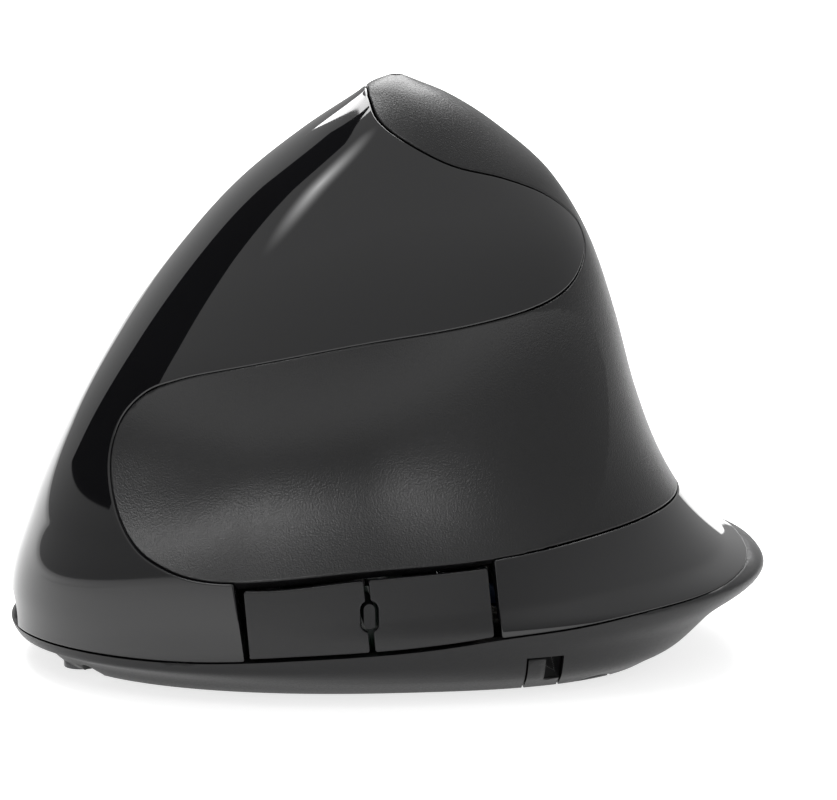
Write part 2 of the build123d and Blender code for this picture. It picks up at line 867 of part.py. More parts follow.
def click_button(side):
    up = wheel_up + side * click_offset
    half = knuckle_length / 2
    skin = shell & click_window_block(side, button_gap)
    front = click_rear_ahead + arm_reach / 2
    thin = arm_thickness / 2
    arm_low = (hinge_ahead, up - half, hinge_out - thin)
    arm = block(finger_side, arm_low, (front, up + half, hinge_out + thin))
    web_low = (front - arm_thickness * 1.5, up - half, hinge_out - thin)
    web = block(finger_side, web_low, (front, up + half, hinge_out + overrun)) & middle_body
    web = web & click_window_block(side, button_gap)
    half_stem = stem_width / 2
    stem_low = (switch_ahead - half_stem, up - half_stem, plunger_top + press_gap)
    stem_high = (switch_ahead + half_stem, up + half_stem, click_skin + overrun)
    stem = block(finger_side, stem_low, stem_high) & middle_body
    knuckle = rod_up_slope(hinge_ahead, hinge_out, knuckle_radius, up - half, up + half)
    bore_radius = hinge_pin_radius + running_fit
    bore = rod_up_slope(hinge_ahead, hinge_out, bore_radius, up - knuckle_length, up + knuckle_length)
    return skin + arm + web + stem + knuckle - bore


def ear_spans():
    """The frame's ears, one on each side of each knuckle, up the slope."""
    spans = []
    for up in click_places:
        for way in (1, -1):
            near = up + way * (knuckle_length / 2 + seat_gap)
            spans.append(sorted((near, near + way * ear_thickness)))
    return sorted(spans)


def click_hinge_pin():
    spans = ear_spans()
    return rod_up_slope(hinge_ahead, hinge_out, hinge_pin_radius, spans[0][0], spans[-1][1])


def micro_switch(side):
    """Snap-action switch with its plunger, on the click board."""
    up = wheel_up + side * click_offset
    half_l, half_w = switch_length / 2, switch_width / 2
    low = (switch_ahead - half_l, up - half_w, click_board_top)
    body = block(finger_side, low, (switch_ahead + half_l, up + half_w, click_board_top + switch_height))
    half_l, half_w = plunger_length / 2, plunger_width / 2
    low = (switch_ahead - half_l, up - half_w, click_board_top + switch_height - plunger_height)
    return body + block(finger_side, low, (switch_ahead + half_l, up + half_w, plunger_top))


def well(low, high):
    """Space that the wheel and its carrier need through the board and the frame."""
    near = (wheel_ahead - well_half_length, wheel_up - well_half_width, low)
    return block(finger_side, near, (wheel_ahead + well_half_length, wheel_up + well_half_width, high))


CLICK_POSTS = [
    (click_board_rear + post_inset, click_board_low + post_inset),
    (click_board_front - post_inset, click_board_low + post_inset),
    (click_board_rear + post_inset, click_board_high - post_inset),
    (click_board_front - post_inset - corner_post_back, click_board_high - post_inset),
]
plate_top = click_board_high + post_inset / 2


def corner_cut():
    """Front top corner that the frame and the click board leave free, to stay clear of the skin."""
    near, far = plate_top - 2 * plate_corner_cut, plate_top + plate_corner_cut
    corners = [
        (frame_front + plate_corner_cut, near),
        (frame_front + plate_corner_cut, far),
        (frame_front - 2 * plate_corner_cut, far),
    ]
    outline = make_face(Polyline(*corners, corners[0]))
    return prism(finger_side, outline, frame_bottom - wall, click_board_top + wall)


def click_circuit_board():
    size = (click_board_front - click_board_rear, click_board_high - click_board_low)
    place = ((click_board_front + click_board_rear) / 2, (click_board_high + click_board_low) / 2)
    board = pad(finger_side, place, size, board_thickness, click_board_bottom, click_board_top)
    board = board - well(click_board_bottom - frame_gap / 2, click_board_top + overrun) - corner_cut()
    for p in CLICK_POSTS:
        board = board - rod(finger_side, p, board_screw_radius + running_fit, 0, click_skin)
    return board


def frame_leg(y):
    """Leg from the tilted plate down to the floor."""
    low_up = click_board_low - post_inset / 3
    out = frame_bottom + frame_thickness / 2
    top = [finger_point(0, low_up + rise, out) for rise in (0, frame_leg_foot)]
    foot = finger_point(0, click_board_low, frame_bottom)[0]
    corners = [(top[0][0], top[0][2]), (top[1][0], top[1][2])]
    corners += [(foot - frame_leg_foot / 4, floor_top), (foot + frame_leg_foot * 3 / 4, floor_top)]
    outline = make_face(Polyline(*corners, corners[0]))
    return prism(front_view, outline, -y - frame_leg_thickness / 2, -y + frame_leg_thickness / 2)


def switch_shelf():
    """Cradle below the plate that carries the wheel's press switch."""
    half = wheel_width + frame_leg_thickness
    top = frame_bottom + frame_thickness / 2
    floor = shelf_top - shelf_thickness
    wide = well_half_width + shelf_thickness
    low = (wheel_ahead - half, wheel_up - wide, floor)
    outside = block(finger_side, low, (wheel_ahead + half, wheel_up + wide, top))
    near = (wheel_ahead - half - overrun, wheel_up - well_half_width, shelf_top)
    far = (wheel_ahead + half + overrun, wheel_up + well_half_width, top + overrun)
    return outside - block(finger_side, near, far)


shelf_top = carrier_bottom - wheel_travel - seat_gap - tact_plunger - tact_height
frame_leg_rear_y = main_tab_front + frame_leg_thickness * 1.5
frame_leg_front_y = frame_front - frame_leg_thickness * 1.5


def inner_frame():
    size = (frame_front - frame_rear, click_board_high - click_board_low + post_inset)
    place = ((frame_front + frame_rear) / 2, (click_board_high + click_board_low) / 2)
    plate = pad(finger_side, place, size, frame_thickness, frame_bottom, frame_top) - corner_cut()
    posts = [rod(finger_side, p, post_radius, frame_bottom, click_board_bottom) for p in CLICK_POSTS]
    ears = []
    for low, high in ear_spans():
        near = (hinge_ahead - knuckle_radius, low, frame_bottom)
        ears.append(block(finger_side, near, (hinge_ahead + knuckle_radius, high, hinge_out)))
        ears.append(rod_up_slope(hinge_ahead, hinge_out, knuckle_radius, low, high))
    frame = joined([plate] + posts + ears) - well(frame_bottom - overrun / 2, click_board_top)
    frame = frame + switch_shelf() + frame_leg(frame_leg_rear_y) + frame_leg(frame_leg_front_y)
    spans = ear_spans()
    low, high = spans[0][0] - overrun, spans[-1][1] + overrun
    frame = frame - rod_up_slope(hinge_ahead, hinge_out, hinge_pin_radius + running_fit / 4, low, high)
    for p in CLICK_POSTS:
        frame = frame - rod(finger_side, p, board_screw_radius, frame_top, click_skin)
    return frame


def board_screws():
    """Screws of the main board and of the click board."""
    length = board_thickness + main_board_lift * 0.6
    sizes = (board_screw_radius, board_screw_head_radius, board_screw_head, length)
    screws = [screw(ground, p, (main_board_top, True), *sizes) for p in POST_PLACES]
    length = board_thickness + frame_gap * 0.6
    sizes = (board_screw_radius, board_screw_head_radius, board_screw_head, length)
    screws += [screw(finger_side, p, (click_board_top, True), *sizes) for p in CLICK_POSTS]
    return joined(screws)


# Wheel


def wheel_disc(radius, half_width_of_disc):
    return rod_up_slope(
        wheel_ahead, wheel_out, radius, wheel_up - half_width_of_disc, wheel_up + half_width_of_disc
    )


def wheel_tyre():
    tyre = wheel_disc(wheel_radius, wheel_width / 2)
    tyre = fillet(tyre.edges(), tyre_thickness / 2)
    tyre = tyre - wheel_disc(wheel_radius - tyre_thickness, wheel_width)
    groove = Box(tyre_groove, tyre_groove, wheel_width * 2)
    cuts = []
    for k in range(tyre_groove_count):
        turn = 360 * k / tyre_groove_count
        cuts.append(Rot(0, 0, turn) * Pos(wheel_radius, 0, 0) * groove)
    return tyre - finger_axis * Pos(wheel_ahead, -wheel_out, wheel_up) * joined(cuts)


def wheel_hub():
    hub = wheel_disc(wheel_radius - tyre_thickness, hub_width / 2)
    recess = wheel_disc(wheel_radius - tyre_thickness - hub_web, wheel_width)
    recess = recess - wheel_disc(axle_radius * 2, wheel_width)
    hub = hub - (recess - wheel_disc(wheel_radius, hub_web / 2))
    return hub + wheel_disc(axle_radius, axle_half_length)


def wheel_carrier():
    half = carrier_half_length
    top = wheel_out + axle_radius + running_fit + frame_thickness
    low = (wheel_ahead - half, wheel_up - cheek_outer, carrier_bottom)
    body = block(finger_side, low, (wheel_ahead + half, wheel_up + cheek_outer, top))
    gap_low = (wheel_ahead - half - overrun, wheel_up - cheek_inner, carrier_top)
    gap_high = (wheel_ahead + half + overrun, wheel_up + cheek_inner, top + overrun)
    body = body - block(finger_side, gap_low, gap_high)
    return body - wheel_disc(axle_radius + running_fit, axle_half_length * 2)


def wheel_encoder():
    near = wheel_up + cheek_outer
    half = encoder_length / 2
    low = (wheel_ahead - half, near, wheel_out - encoder_below_axle)
    high = (wheel_ahead + half, near + encoder_width, wheel_out + encoder_above_axle)
    body = block(finger_side, low, high)
    return body - wheel_disc(axle_radius + running_fit, axle_half_length + seam_gap)


def tact_switch(plane, place, low):
    x, y = place
    half = tact_size / 2
    high = low + tact_height
    body = block(plane, (x - half, y - half, low), (x + half, y + half, high))
    return body + rod(plane, place, tact_plunger_radius, high - tact_height / 2, high + tact_plunger)


def dpi_button():
    spine_inside = min(finger_skin(dpi_ahead + way * dpi_length, wheel_up) for way in (1, -1)) - wall
    flange_top = spine_inside - seam_gap
    top = finger_skin(dpi_ahead, wheel_up) + dpi_proud
    cap = dpi_block(0, flange_top - dpi_flange / 2, top)
    cap = fillet(cap.faces().sort_by(Axis((0, 0, 0), finger_out))[-1].edges(), dpi_proud / 2)
    flange = dpi_block(dpi_flange, flange_top - dpi_flange, flange_top)
    stem_low = dpi_switch_top + dpi_travel + seat_gap
    stem = rod(finger_side, (dpi_ahead, wheel_up), dpi_width / 3, stem_low, flange_top)
    return cap + flange + stem


# Side buttons


def side_pivot(way):
    """Centre of a side button's pivot: its place along Y, and how far out it lies."""
    y = side_front - side_button_gap - side_pivot_inset
    if way < 0:
        y = side_rear + side_button_gap + side_pivot_inset
    return y, thumb_skin(y, side_pivot_height) - wall - side_pivot_depth


def side_button(way):
    """Side button ahead of the split (way above zero) or behind it."""
    split = side_split + way * side_split_gap
    far = side_front - side_button_gap if way > 0 else side_rear + side_button_gap
    rear, front = sorted((split, far))
    skin = shell & side_block(rear, front, side_button_foot_gap, side_button_gap, side_lean_deg)
    y, out = side_pivot(way)
    low, high = side_pivot_height - side_knuckle_height / 2, side_pivot_height + side_knuckle_height / 2
    knuckle = rod(ground, (-out, y), side_knuckle_radius, low, high)
    neck = block(ground, (-half_width, y - side_knuckle_radius, low), (-out, y + side_knuckle_radius, high))
    switch_y = side_split + way * side_switch_offset
    half = side_stem_width / 2
    stem_in = side_switch_top + side_press_gap
    stem_low = (-half_width, switch_y - half, side_pivot_height - half)
    stem = block(ground, stem_low, (-stem_in, switch_y + half, side_pivot_height + half))
    bore = rod(ground, (-out, y), side_pin_radius + running_fit, low - overrun, high + overrun)
    button = skin + knuckle + ((neck + stem) & middle_body)
    return button - bore - divider_block(divider_gap, side_board_out, beyond_x)


def side_ear_layers():
    half = side_knuckle_height / 2 + seat_gap
    below = (side_pivot_height - half - side_ear_thickness, side_pivot_height - half)
    return [below, (side_pivot_height + half, side_pivot_height + half + side_ear_thickness)]


def side_button_bracket():
    rear, front = side_pivot(-1)[0] - side_knuckle_radius, side_pivot(1)[0] + side_knuckle_radius
    inner = side_plate_out - side_bracket_thickness
    plate_low = floor_top + side_bracket_thickness / 2
    plate = block(ground, (-side_plate_out, rear, plate_low), (-inner, front, side_ear_layers()[1][1]))
    trim_low = (-beyond_x, side_board_rear, side_bracket_top)
    trim = block(ground, trim_low, (0, side_board_front, overall_height))
    bracket = plate - trim
    for way in (1, -1):
        y, out = side_pivot(way)
        half = side_knuckle_radius
        for low, high in side_ear_layers():
            bracket = bracket + block(ground, (-out, y - half, low), (-inner, y + half, high))
            bracket = bracket + rod(ground, (-out, y), half - seam_gap, low, high)
        pin_layers = side_ear_layers()
        low, high = pin_layers[0][0] - wall, pin_layers[1][1] + wall
        bracket = bracket - rod(ground, (-out, y), side_pin_radius + running_fit / 4, low, high)
    foot_low = (side_bracket_thickness / 2 - side_plate_out, main_tab_front + button_gap, floor_top)
    foot_high = (main_board_left - button_gap, side_board_front, floor_top + side_bracket_thickness)
    return bracket + block(ground, foot_low, foot_high)


def side_button_pins():
    layers = side_ear_layers()
    pins = []
    for way in (1, -1):
        y, out = side_pivot(way)
        pins.append(rod(ground, (-out, y), side_pin_radius, layers[0][0], layers[1][1]))
    return joined(pins)


def side_circuit_board():
    low = (-side_board_out, side_board_rear, side_board_low)
    return block(ground, low, (-side_plate_out, side_board_front, side_bracket_top))


def side_switch(way):
    y = side_split + way * side_switch_offset
    half = side_switch_size / 2
    low = (-side_switch_top + side_switch_height / 3, y - half, side_pivot_height - half)
    body = block(ground, low, (-side_board_out, y + half, side_pivot_height + half))
    return body + rod(side_view, (y, side_pivot_height), half / 2, -side_switch_top, -side_board_out)


def button_divider():
    return divider_block(0, side_board_out, beyond_x) & outer_body


# Electronics on the base


def main_circuit_board():
    size = (main_board_right - main_board_left, main_board_front - main_board_rear)
    place = ((main_board_left + main_board_right) / 2, (main_board_front + main_board_rear) / 2)
    board = pad(ground, place, size, board_thickness, main_board_low, main_board_top)
    tab = (main_tab_half_width * 2, main_tab_front - main_board_rear)
    tab_y = (main_tab_front + main_board_rear) / 2
    board = board + pad(ground, (0, tab_y), tab, board_thickness, main_board_low, main_board_top)
    window = (sensor_window, sensor_window)
    board = board - pad(ground, (sensor_x, sensor_y), window, sensor_window / 7, 0, main_board_top + overrun)
    for p in POST_PLACES:
        board = board - rod(ground, p, board_screw_radius + running_fit, 0, main_board_top + overrun)
    return board


def controller_chip():
    half = chip_size / 2
    x, y = sensor_x - chip_size, sensor_y - sensor_length - chip_size / 4
    low = (x - half, y - half, main_board_top)
    return block(ground, low, (x + half, y + half, main_board_top + chip_height))


def optical_sensor():
    low = (sensor_x - sensor_width / 2, sensor_y - sensor_length / 2, main_board_top)
    high = (sensor_x + sensor_width / 2, sensor_y + sensor_length / 2, main_board_top + sensor_height)
    eye = rod(ground, (sensor_x, sensor_y), lens_barrel_radius / 2, 0, main_board_top + sensor_height / 2)
    return block(ground, low, high) - eye


def sensor_lens():
    size = (lens_width, lens_length)
    plate = pad(ground, (sensor_x, sensor_y), size, lens_plate, floor_top, floor_top + lens_plate)
    barrel = rod(ground, (sensor_x, sensor_y), lens_barrel_radius, floor_top, main_board_low - seat_gap)
    return plate + barrel


def illumination_led():
    y = sensor_y + sensor_length / 2 + led_radius * 2
    body = rod(ground, (sensor_x, y), led_radius, main_board_top, main_board_top + led_height - led_radius)
    return body + Pos(sensor_x, y, main_board_top + led_height - led_radius) * Sphere(led_radius)


power_rest_y = power_y - power_travel / 2


def power_switch_body():
    low_z = main_board_low - power_body_height
    half_w, half_l = power_body_width / 2, power_body_length / 2
    low = (power_x - half_w, power_y - half_l, low_z)
    body = block(ground, low, (power_x + half_w, power_y + half_l, main_board_low))
    reach = power_travel / 2 + power_knob_length / 3 + seam_gap
    post = power_slot_width / 4 + seam_gap
    high = (power_x + post, power_y + reach, low_z + power_body_height / 2)
    return body - block(ground, (power_x - post, power_y - reach, low_z - overrun), high)


def power_switch_knob():
    low_z = main_board_low - power_body_height
    half_w = power_slot_width / 2 - seam_gap
    half_l = power_knob_length / 2
    low = (power_x - half_w, power_rest_y - half_l, underside_height + seam_gap)
    knob = block(ground, low, (power_x + half_w, power_rest_y + half_l, low_z - seat_gap))
    thumb_groove = rod(side_view, (power_rest_y, underside_height), half_l / 3, -overrun, overrun)
    post_w, post_l = power_slot_width / 4, power_knob_length / 3
    post_low = (power_x - post_w, power_rest_y - post_l, low_z - seat_gap * 2)
    post_high = (power_x + post_w, power_rest_y + post_l, low_z + power_body_height / 3)
    return knob - thumb_groove + block(ground, post_low, post_high)


# Cells, contacts and door


def rod_along_x(y, z, radius, low, high):
    return rod(side_view, (y, z), radius, low, high)


def cell(y, way):
    """AAA cell along X, its nub towards one side."""
    flat = -(bay_half_x - contact_plate - battery_spring_length - end_play / 2)
    body = (flat, flat + cell_length - cell_nub)
    nub = (body[1] - cell_nub, body[1] + cell_nub)
    can = rod_along_x(y, cell_height, cell_radius, *sorted((way * body[0], way * body[1])))
    can = fillet(can.edges(), cell_nub / 2)
    return can + rod_along_x(y, cell_height, cell_nub_radius, *sorted((way * nub[0], way * nub[1])))


def battery_contact_plates():
    plates = []
    half = contact_plate_width / 2
    low, high = door_clear_top, door_clear_top + contact_plate_height
    for y, way in CELL_PLACES:
        for side in (1, -1):
            near, far = sorted((side * (bay_half_x - contact_plate), side * bay_half_x))
            plates.append(block(ground, (near, y - half, low), (far, y + half, high)))
    return joined(plates)


def battery_springs():
    """Conical springs at the flat ends of the cells, as the shape that they fill."""
    springs = []
    for y, way in CELL_PLACES:
        middle = bay_half_x - contact_plate - battery_spring_length / 2
        cone = Cone(battery_spring_base_radius, battery_spring_tip_radius, battery_spring_length)
        turn = Rot(0, 90 * way, 0)
        springs.append(Pos(-way * middle, y, cell_height) * turn * cone)
    return joined(springs)


def battery_leads():
    """Flat leads from the front cell's contacts over the bay wall to the main board."""
    y_plate = CELL_PLACES[0][0] + contact_plate_width / 4
    top = door_clear_top + contact_plate_height + seat_gap + ribbon_thickness / 2
    y_board = main_board_rear + board_thickness
    points = [(y_plate, top), (y_board, top), (y_board, main_board_top + seat_gap)]
    line = FilletPolyline(*points, radius=ribbon_thickness * 2)
    strip = trace(line, ribbon_thickness)
    leads = []
    for side in (1, -1):
        near, far = sorted((side * (main_tab_half_width - board_thickness), side * (bay_half_x - seat_gap)))
        leads.append(prism(side_view, strip, near, far))
    return joined(leads)


def latch_groove():
    """Finger groove in the latch's outer face."""
    corners = []
    for z in (floor_top, latch_top + wall):
        corners.append((latch_groove_depth - thumb_skin(latch_groove_front, z), z))
    corners += [(-beyond_x, corners[1][1]), (-beyond_x, corners[0][1])]
    outline = make_face(Polyline(*corners, corners[0]))
    return prism(front_view, outline, -latch_groove_front, -latch_rear + wall)


def battery_door():
    right = door_axis_x
    size = (right - door_left, bay_front - bay_rear - 2 * door_gap)
    place = ((door_left + right) / 2, bay_centre_y)
    plate = pad(ground, place, size, door_corner, -overrun, floor_top + door_gap)
    rear, front = place[1] - size[1] / 2, place[1] + size[1] / 2
    square = block(ground, (right - door_corner * 2, rear, -overrun), (right, front, floor_top + door_gap))
    latch_high = (door_left + door_corner, latch_front, latch_top)
    latch = block(ground, (-beyond_x, latch_rear, -overrun), latch_high)
    door = (shell & (plate + square + latch)) - latch_groove()
    barrel = rod(front_view, (right, door_axis_height), door_axis_rise, -front, -rear)
    return door + barrel + trunnion_bores(door_pin_radius, 0)


# Receiver


def usb_receiver_body():
    head = tail_block(0, receiver_sink, receiver_sink + receiver_head)
    head = fillet(head.edges().filter_by(Axis(tail_plane.origin, tail_plane.z_dir)), plug_shell)
    half_x, half_y = plug_width / 2 - 2 * plug_shell, plug_thickness / 4 - plug_shell / 2
    low = (-half_x, 0, receiver_sink + receiver_head / 2)
    tongue = block(tail_plane, low, (half_x, half_y, receiver_end - plug_shell))
    return head + tongue


def usb_receiver_plug():
    start, end = receiver_sink + receiver_head, receiver_end
    half_x, half_y = plug_width / 2, plug_thickness / 2
    outside = block(tail_plane, (-half_x, -half_y, start), (half_x, half_y, end))
    in_x, in_y = half_x - plug_shell, half_y - plug_shell
    return outside - block(tail_plane, (-in_x, -in_y, start - overrun), (in_x, in_y, end + overrun))


# Ribbons


def band(points, y_low, y_high):
    """Flat ribbon that follows a line across the body."""
    line = FilletPolyline(*points, radius=ribbon_thickness * 3)
    return prism(front_view, trace(line, ribbon_thickness), -y_high, -y_low)


def click_ribbon():
    edge = finger_point(0, click_board_low - seat_gap * 3, (click_board_top + click_board_bottom) / 2)
    x = main_board_right - board_thickness
    bend = (edge[0] + board_thickness, edge[2] - ribbon_width / 2)
    foot = main_board_top + seat_gap
    points = [(x, foot), (x, foot + ribbon_width / 2), bend, (edge[0], edge[2])]
    rear = frame_leg_rear_y + ribbon_width
    return band(points, rear, rear + ribbon_width)


def side_ribbon():
    x = main_board_left + board_thickness
    top = side_bracket_top + ribbon_thickness * 5
    end_x = -(side_plate_out + board_thickness / 2)
    points = [(x, main_board_top + seat_gap), (x, top), (end_x, top), (end_x, side_bracket_top + seat_gap)]
    rear = side_split
    return band(points, rear, rear + ribbon_width)


upper_shell = shell - lower_block(0)

NODES = {
    "bottom_shell": bottom_shell,
    "front_shell": front_shell,
    "palm_shell": palm_shell,
    "nose_plug": nose_plug,
    "left_click_button": lambda: click_button(1),
    "right_click_button": lambda: click_button(-1),
    "click_hinge_pin": click_hinge_pin,
    "left_click_switch": lambda: micro_switch(1),
    "right_click_switch": lambda: micro_switch(-1),
    "click_circuit_board": click_circuit_board,
    "inner_frame": inner_frame,
    "wheel_tyre": wheel_tyre,
    "wheel_hub": wheel_hub,
    "wheel_carrier": wheel_carrier,
    "wheel_encoder": wheel_encoder,
    "wheel_press_switch": lambda: tact_switch(finger_side, (wheel_ahead, wheel_up), shelf_top),
    "dpi_button": dpi_button,
    "dpi_switch": lambda: tact_switch(finger_side, (dpi_ahead, wheel_up), click_board_top),
    "forward_button": lambda: side_button(1),
    "back_button": lambda: side_button(-1),
    "button_divider": button_divider,
    "side_button_bracket": side_button_bracket,
    "side_button_pins": side_button_pins,
    "side_circuit_board": side_circuit_board,
    "forward_switch": lambda: side_switch(1),
    "back_switch": lambda: side_switch(-1),
    "main_circuit_board": main_circuit_board,
    "controller_chip": controller_chip,
    "optical_sensor": optical_sensor,
    "sensor_lens": sensor_lens,
    "illumination_led": illumination_led,
    "power_switch_body": power_switch_body,
    "power_switch_knob": power_switch_knob,
    "battery_front": lambda: cell(*CELL_PLACES[0]),
    "battery_rear": lambda: cell(*CELL_PLACES[1]),
    "battery_contact_plates": battery_contact_plates,
    "battery_springs": battery_springs,
    "battery_leads": battery_leads,
    "battery_door": battery_door,
    "usb_receiver_body": usb_receiver_body,
    "usb_receiver_plug": usb_receiver_plug,
    "click_ribbon": click_ribbon,
    "side_ribbon": side_ribbon,
    "front_glide_foot": lambda: glide_foot("front_glide_foot"),
    "rear_glide_foot": lambda: glide_foot("rear_glide_foot"),
    "case_screws": case_screws,
    "board_screws": board_screws,
}

os.makedirs("parts", exist_ok=True)
for name, make in NODES.items():
    export_step(make(), f"parts/{name}.step")
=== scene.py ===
# %% [markdown]
# # A vertical mouse, dressed on its CAD frame
# The CAD model brings every piece in its real place. This lesson gives the casing finer skins,
# gives each piece the finish of the moulding it stands for, and lights it as in a photo studio.
# Units are metres here; the tables of the body are shares, and lengths are given in millimetres.

# %% Load the frame
import json
import math
import bmesh
import bpy
import numpy as np
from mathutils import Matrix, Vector
from mathutils.bvhtree import BVHTree


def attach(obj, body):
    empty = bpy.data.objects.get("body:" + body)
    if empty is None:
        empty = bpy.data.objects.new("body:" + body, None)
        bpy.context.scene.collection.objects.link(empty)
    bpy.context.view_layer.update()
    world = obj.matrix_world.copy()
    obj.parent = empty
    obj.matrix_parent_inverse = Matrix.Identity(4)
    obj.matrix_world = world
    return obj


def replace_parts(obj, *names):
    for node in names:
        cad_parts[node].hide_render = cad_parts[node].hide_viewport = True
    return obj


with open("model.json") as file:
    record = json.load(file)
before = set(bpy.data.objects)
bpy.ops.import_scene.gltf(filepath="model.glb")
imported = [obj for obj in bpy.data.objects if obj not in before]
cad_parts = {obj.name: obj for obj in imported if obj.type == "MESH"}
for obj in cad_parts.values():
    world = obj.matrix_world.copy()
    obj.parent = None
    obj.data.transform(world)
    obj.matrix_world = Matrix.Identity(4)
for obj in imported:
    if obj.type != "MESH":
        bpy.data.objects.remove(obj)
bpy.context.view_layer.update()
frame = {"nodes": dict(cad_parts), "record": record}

# %% [markdown]
# The camera stands on the thumb side, a little above, with a long lens, so that the parallel
# edges of the body hardly converge. A long lens from far away is how such products are shown.

# %% Camera
camera_place, camera_aim = (-0.6031, 0.0588, 0.1639), (0.0, -0.00445, 0.035)
sensor_width, lens = 36.0, 190.1
camera_data = bpy.data.cameras.new("camera")
camera_data.sensor_width, camera_data.lens = sensor_width, lens
camera = bpy.data.objects.new("camera", camera_data)
bpy.context.scene.collection.objects.link(camera)
camera.location = camera_place
aim = Vector(camera_aim) - Vector(camera_place)
camera.rotation_euler = aim.to_track_quat("-Z", "Y").to_euler()
bpy.context.scene.camera = camera
bpy.context.scene.view_settings.view_transform = "Standard"
print("camera", camera_place, "looks at", camera_aim)

# %% [markdown]
# The body is a stack of rounded outlines. Each row of the table holds an outline's height, its
# front, rear, left and right ends, where it is widest, how square its quarters are, and how much
# it dips towards the nose. The same table made the solids, so the skins fit over them.

# %% Table of the body
mm = 0.001
half_length, half_width, height, underside = 53.0, 36.0, 82.0, 0.8
LEVEL_SHARES = np.array([
    (0.000, 0.890, -0.700, -0.817, 0.833, 0.44, 2.70, 2.20, 2.20, 0.000),
    (0.027, 0.932, -0.780, -0.911, 0.944, 0.45, 2.60, 2.20, 2.20, 0.000),
    (0.055, 0.975, -0.858, -0.970, 0.985, 0.46, 2.45, 2.20, 2.20, 0.028),
    (0.104, 1.000, -1.000, -1.000, 1.000, 0.46, 2.40, 2.20, 2.20, 0.066),
    (0.150, 1.000, -0.890, -0.983, 0.967, 0.46, 2.40, 2.20, 2.20, 0.065),
    (0.286, 0.941, -0.739, -0.933, 0.861, 0.46, 2.35, 2.20, 2.25, 0.050),
    (0.434, 0.839, -0.650, -0.867, 0.722, 0.46, 2.30, 2.20, 2.35, 0.035),
    (0.581, 0.701, -0.590, -0.783, 0.567, 0.47, 2.20, 2.20, 2.50, 0.020),
    (0.717, 0.544, -0.518, -0.689, 0.394, 0.48, 2.20, 2.15, 2.50, 0.010),
    (0.828, 0.386, -0.418, -0.583, 0.228, 0.49, 2.10, 2.10, 2.35, 0.000),
    (0.914, 0.222, -0.273, -0.467, 0.078, 0.50, 2.00, 2.00, 2.10, 0.000),
    (0.969, 0.095, -0.143, -0.350, -0.056, 0.50, 2.00, 2.00, 2.00, 0.000),
    (0.991, 0.046, -0.064, -0.275, -0.131, 0.50, 2.00, 2.00, 2.00, 0.000),
    (1.000, 0.008, -0.030, -0.225, -0.175, 0.50, 2.00, 2.00, 2.00, 0.000),
])


def smooth_curve(at, values, where):
    """A cubic through every knot that never swings past them: each knot's slope is the weighted
    harmonic mean of the slopes on its two sides, or zero where these differ in sign."""
    at, values = np.asarray(at, float), np.asarray(values, float)
    span = np.diff(at)
    rate = np.diff(values) / span
    slope = np.r_[rate[0], np.zeros(len(at) - 2), rate[-1]]
    before, after = rate[:-1], rate[1:]
    same = before * after > 0
    near, far = 2 * span[1:] + span[:-1], span[1:] + 2 * span[:-1]
    mean = (near + far)[same] / (near[same] / before[same] + far[same] / after[same])
    slope[1:-1][same] = mean
    i = np.clip(np.searchsorted(at, where) - 1, 0, len(at) - 2)
    t = (where - at[i]) / span[i]
    value = values[i] * (2 * t**3 - 3 * t**2 + 1) + values[i + 1] * (3 * t**2 - 2 * t**3)
    return value + span[i] * (slope[i] * (t**3 - 2 * t**2 + t) + slope[i + 1] * (t**3 - t**2))


print("levels", len(LEVEL_SHARES))

# %% [markdown]
# A point of the skin is found from two numbers: how high its outline is in the stack, and the
# turn round it. The outline is a superellipse, rounder or squarer in each quarter. The thumb
# hollow is the same skin pulled inwards by a smooth depth that is set in side view.

# %% The skin as a function of two parameters
def column(index, rise):
    sizes = (half_length, half_length, half_width, half_width, 1, 1, 1, 1, 1)
    return smooth_curve(LEVEL_SHARES[:, 0], LEVEL_SHARES[:, index], rise) * sizes[index - 1]


hollow_middle_share, hollow_half_share = 0.418, 0.183
hollow_middle_fall, hollow_half_fall = 0.135, 0.055
hollow_round_share, hollow_front_share = 0.47, 0.749
hollow_fade_share, hollow_fade_span_share = 0.68, 0.80
hollow_squareness, hollow_edge, hollow_depth, hollow_end = 2.3, 0.4, 6.0, 0.6


def thumb_sink(y, z):
    """Depth of the thumb hollow: a bowl 1 - rim**p in side view, faded out towards the rear."""
    middle = hollow_middle_share * height - hollow_middle_fall * y
    half = hollow_half_share * height - hollow_half_fall * y
    front = (y / half_length - hollow_round_share) / (hollow_front_share - hollow_round_share)
    aside = np.abs((z - middle) / half)
    rim = np.maximum(front, 0) ** hollow_squareness + aside**hollow_squareness
    fade = np.clip((y / half_length + hollow_fade_share) / hollow_fade_span_share, 0, 1)
    fade = fade * fade * (3 - 2 * fade)
    bowl = hollow_edge + hollow_depth * (1 - rim ** (2 / hollow_squareness))
    return np.maximum(fade * bowl - (1 - fade) * hollow_end, 0)


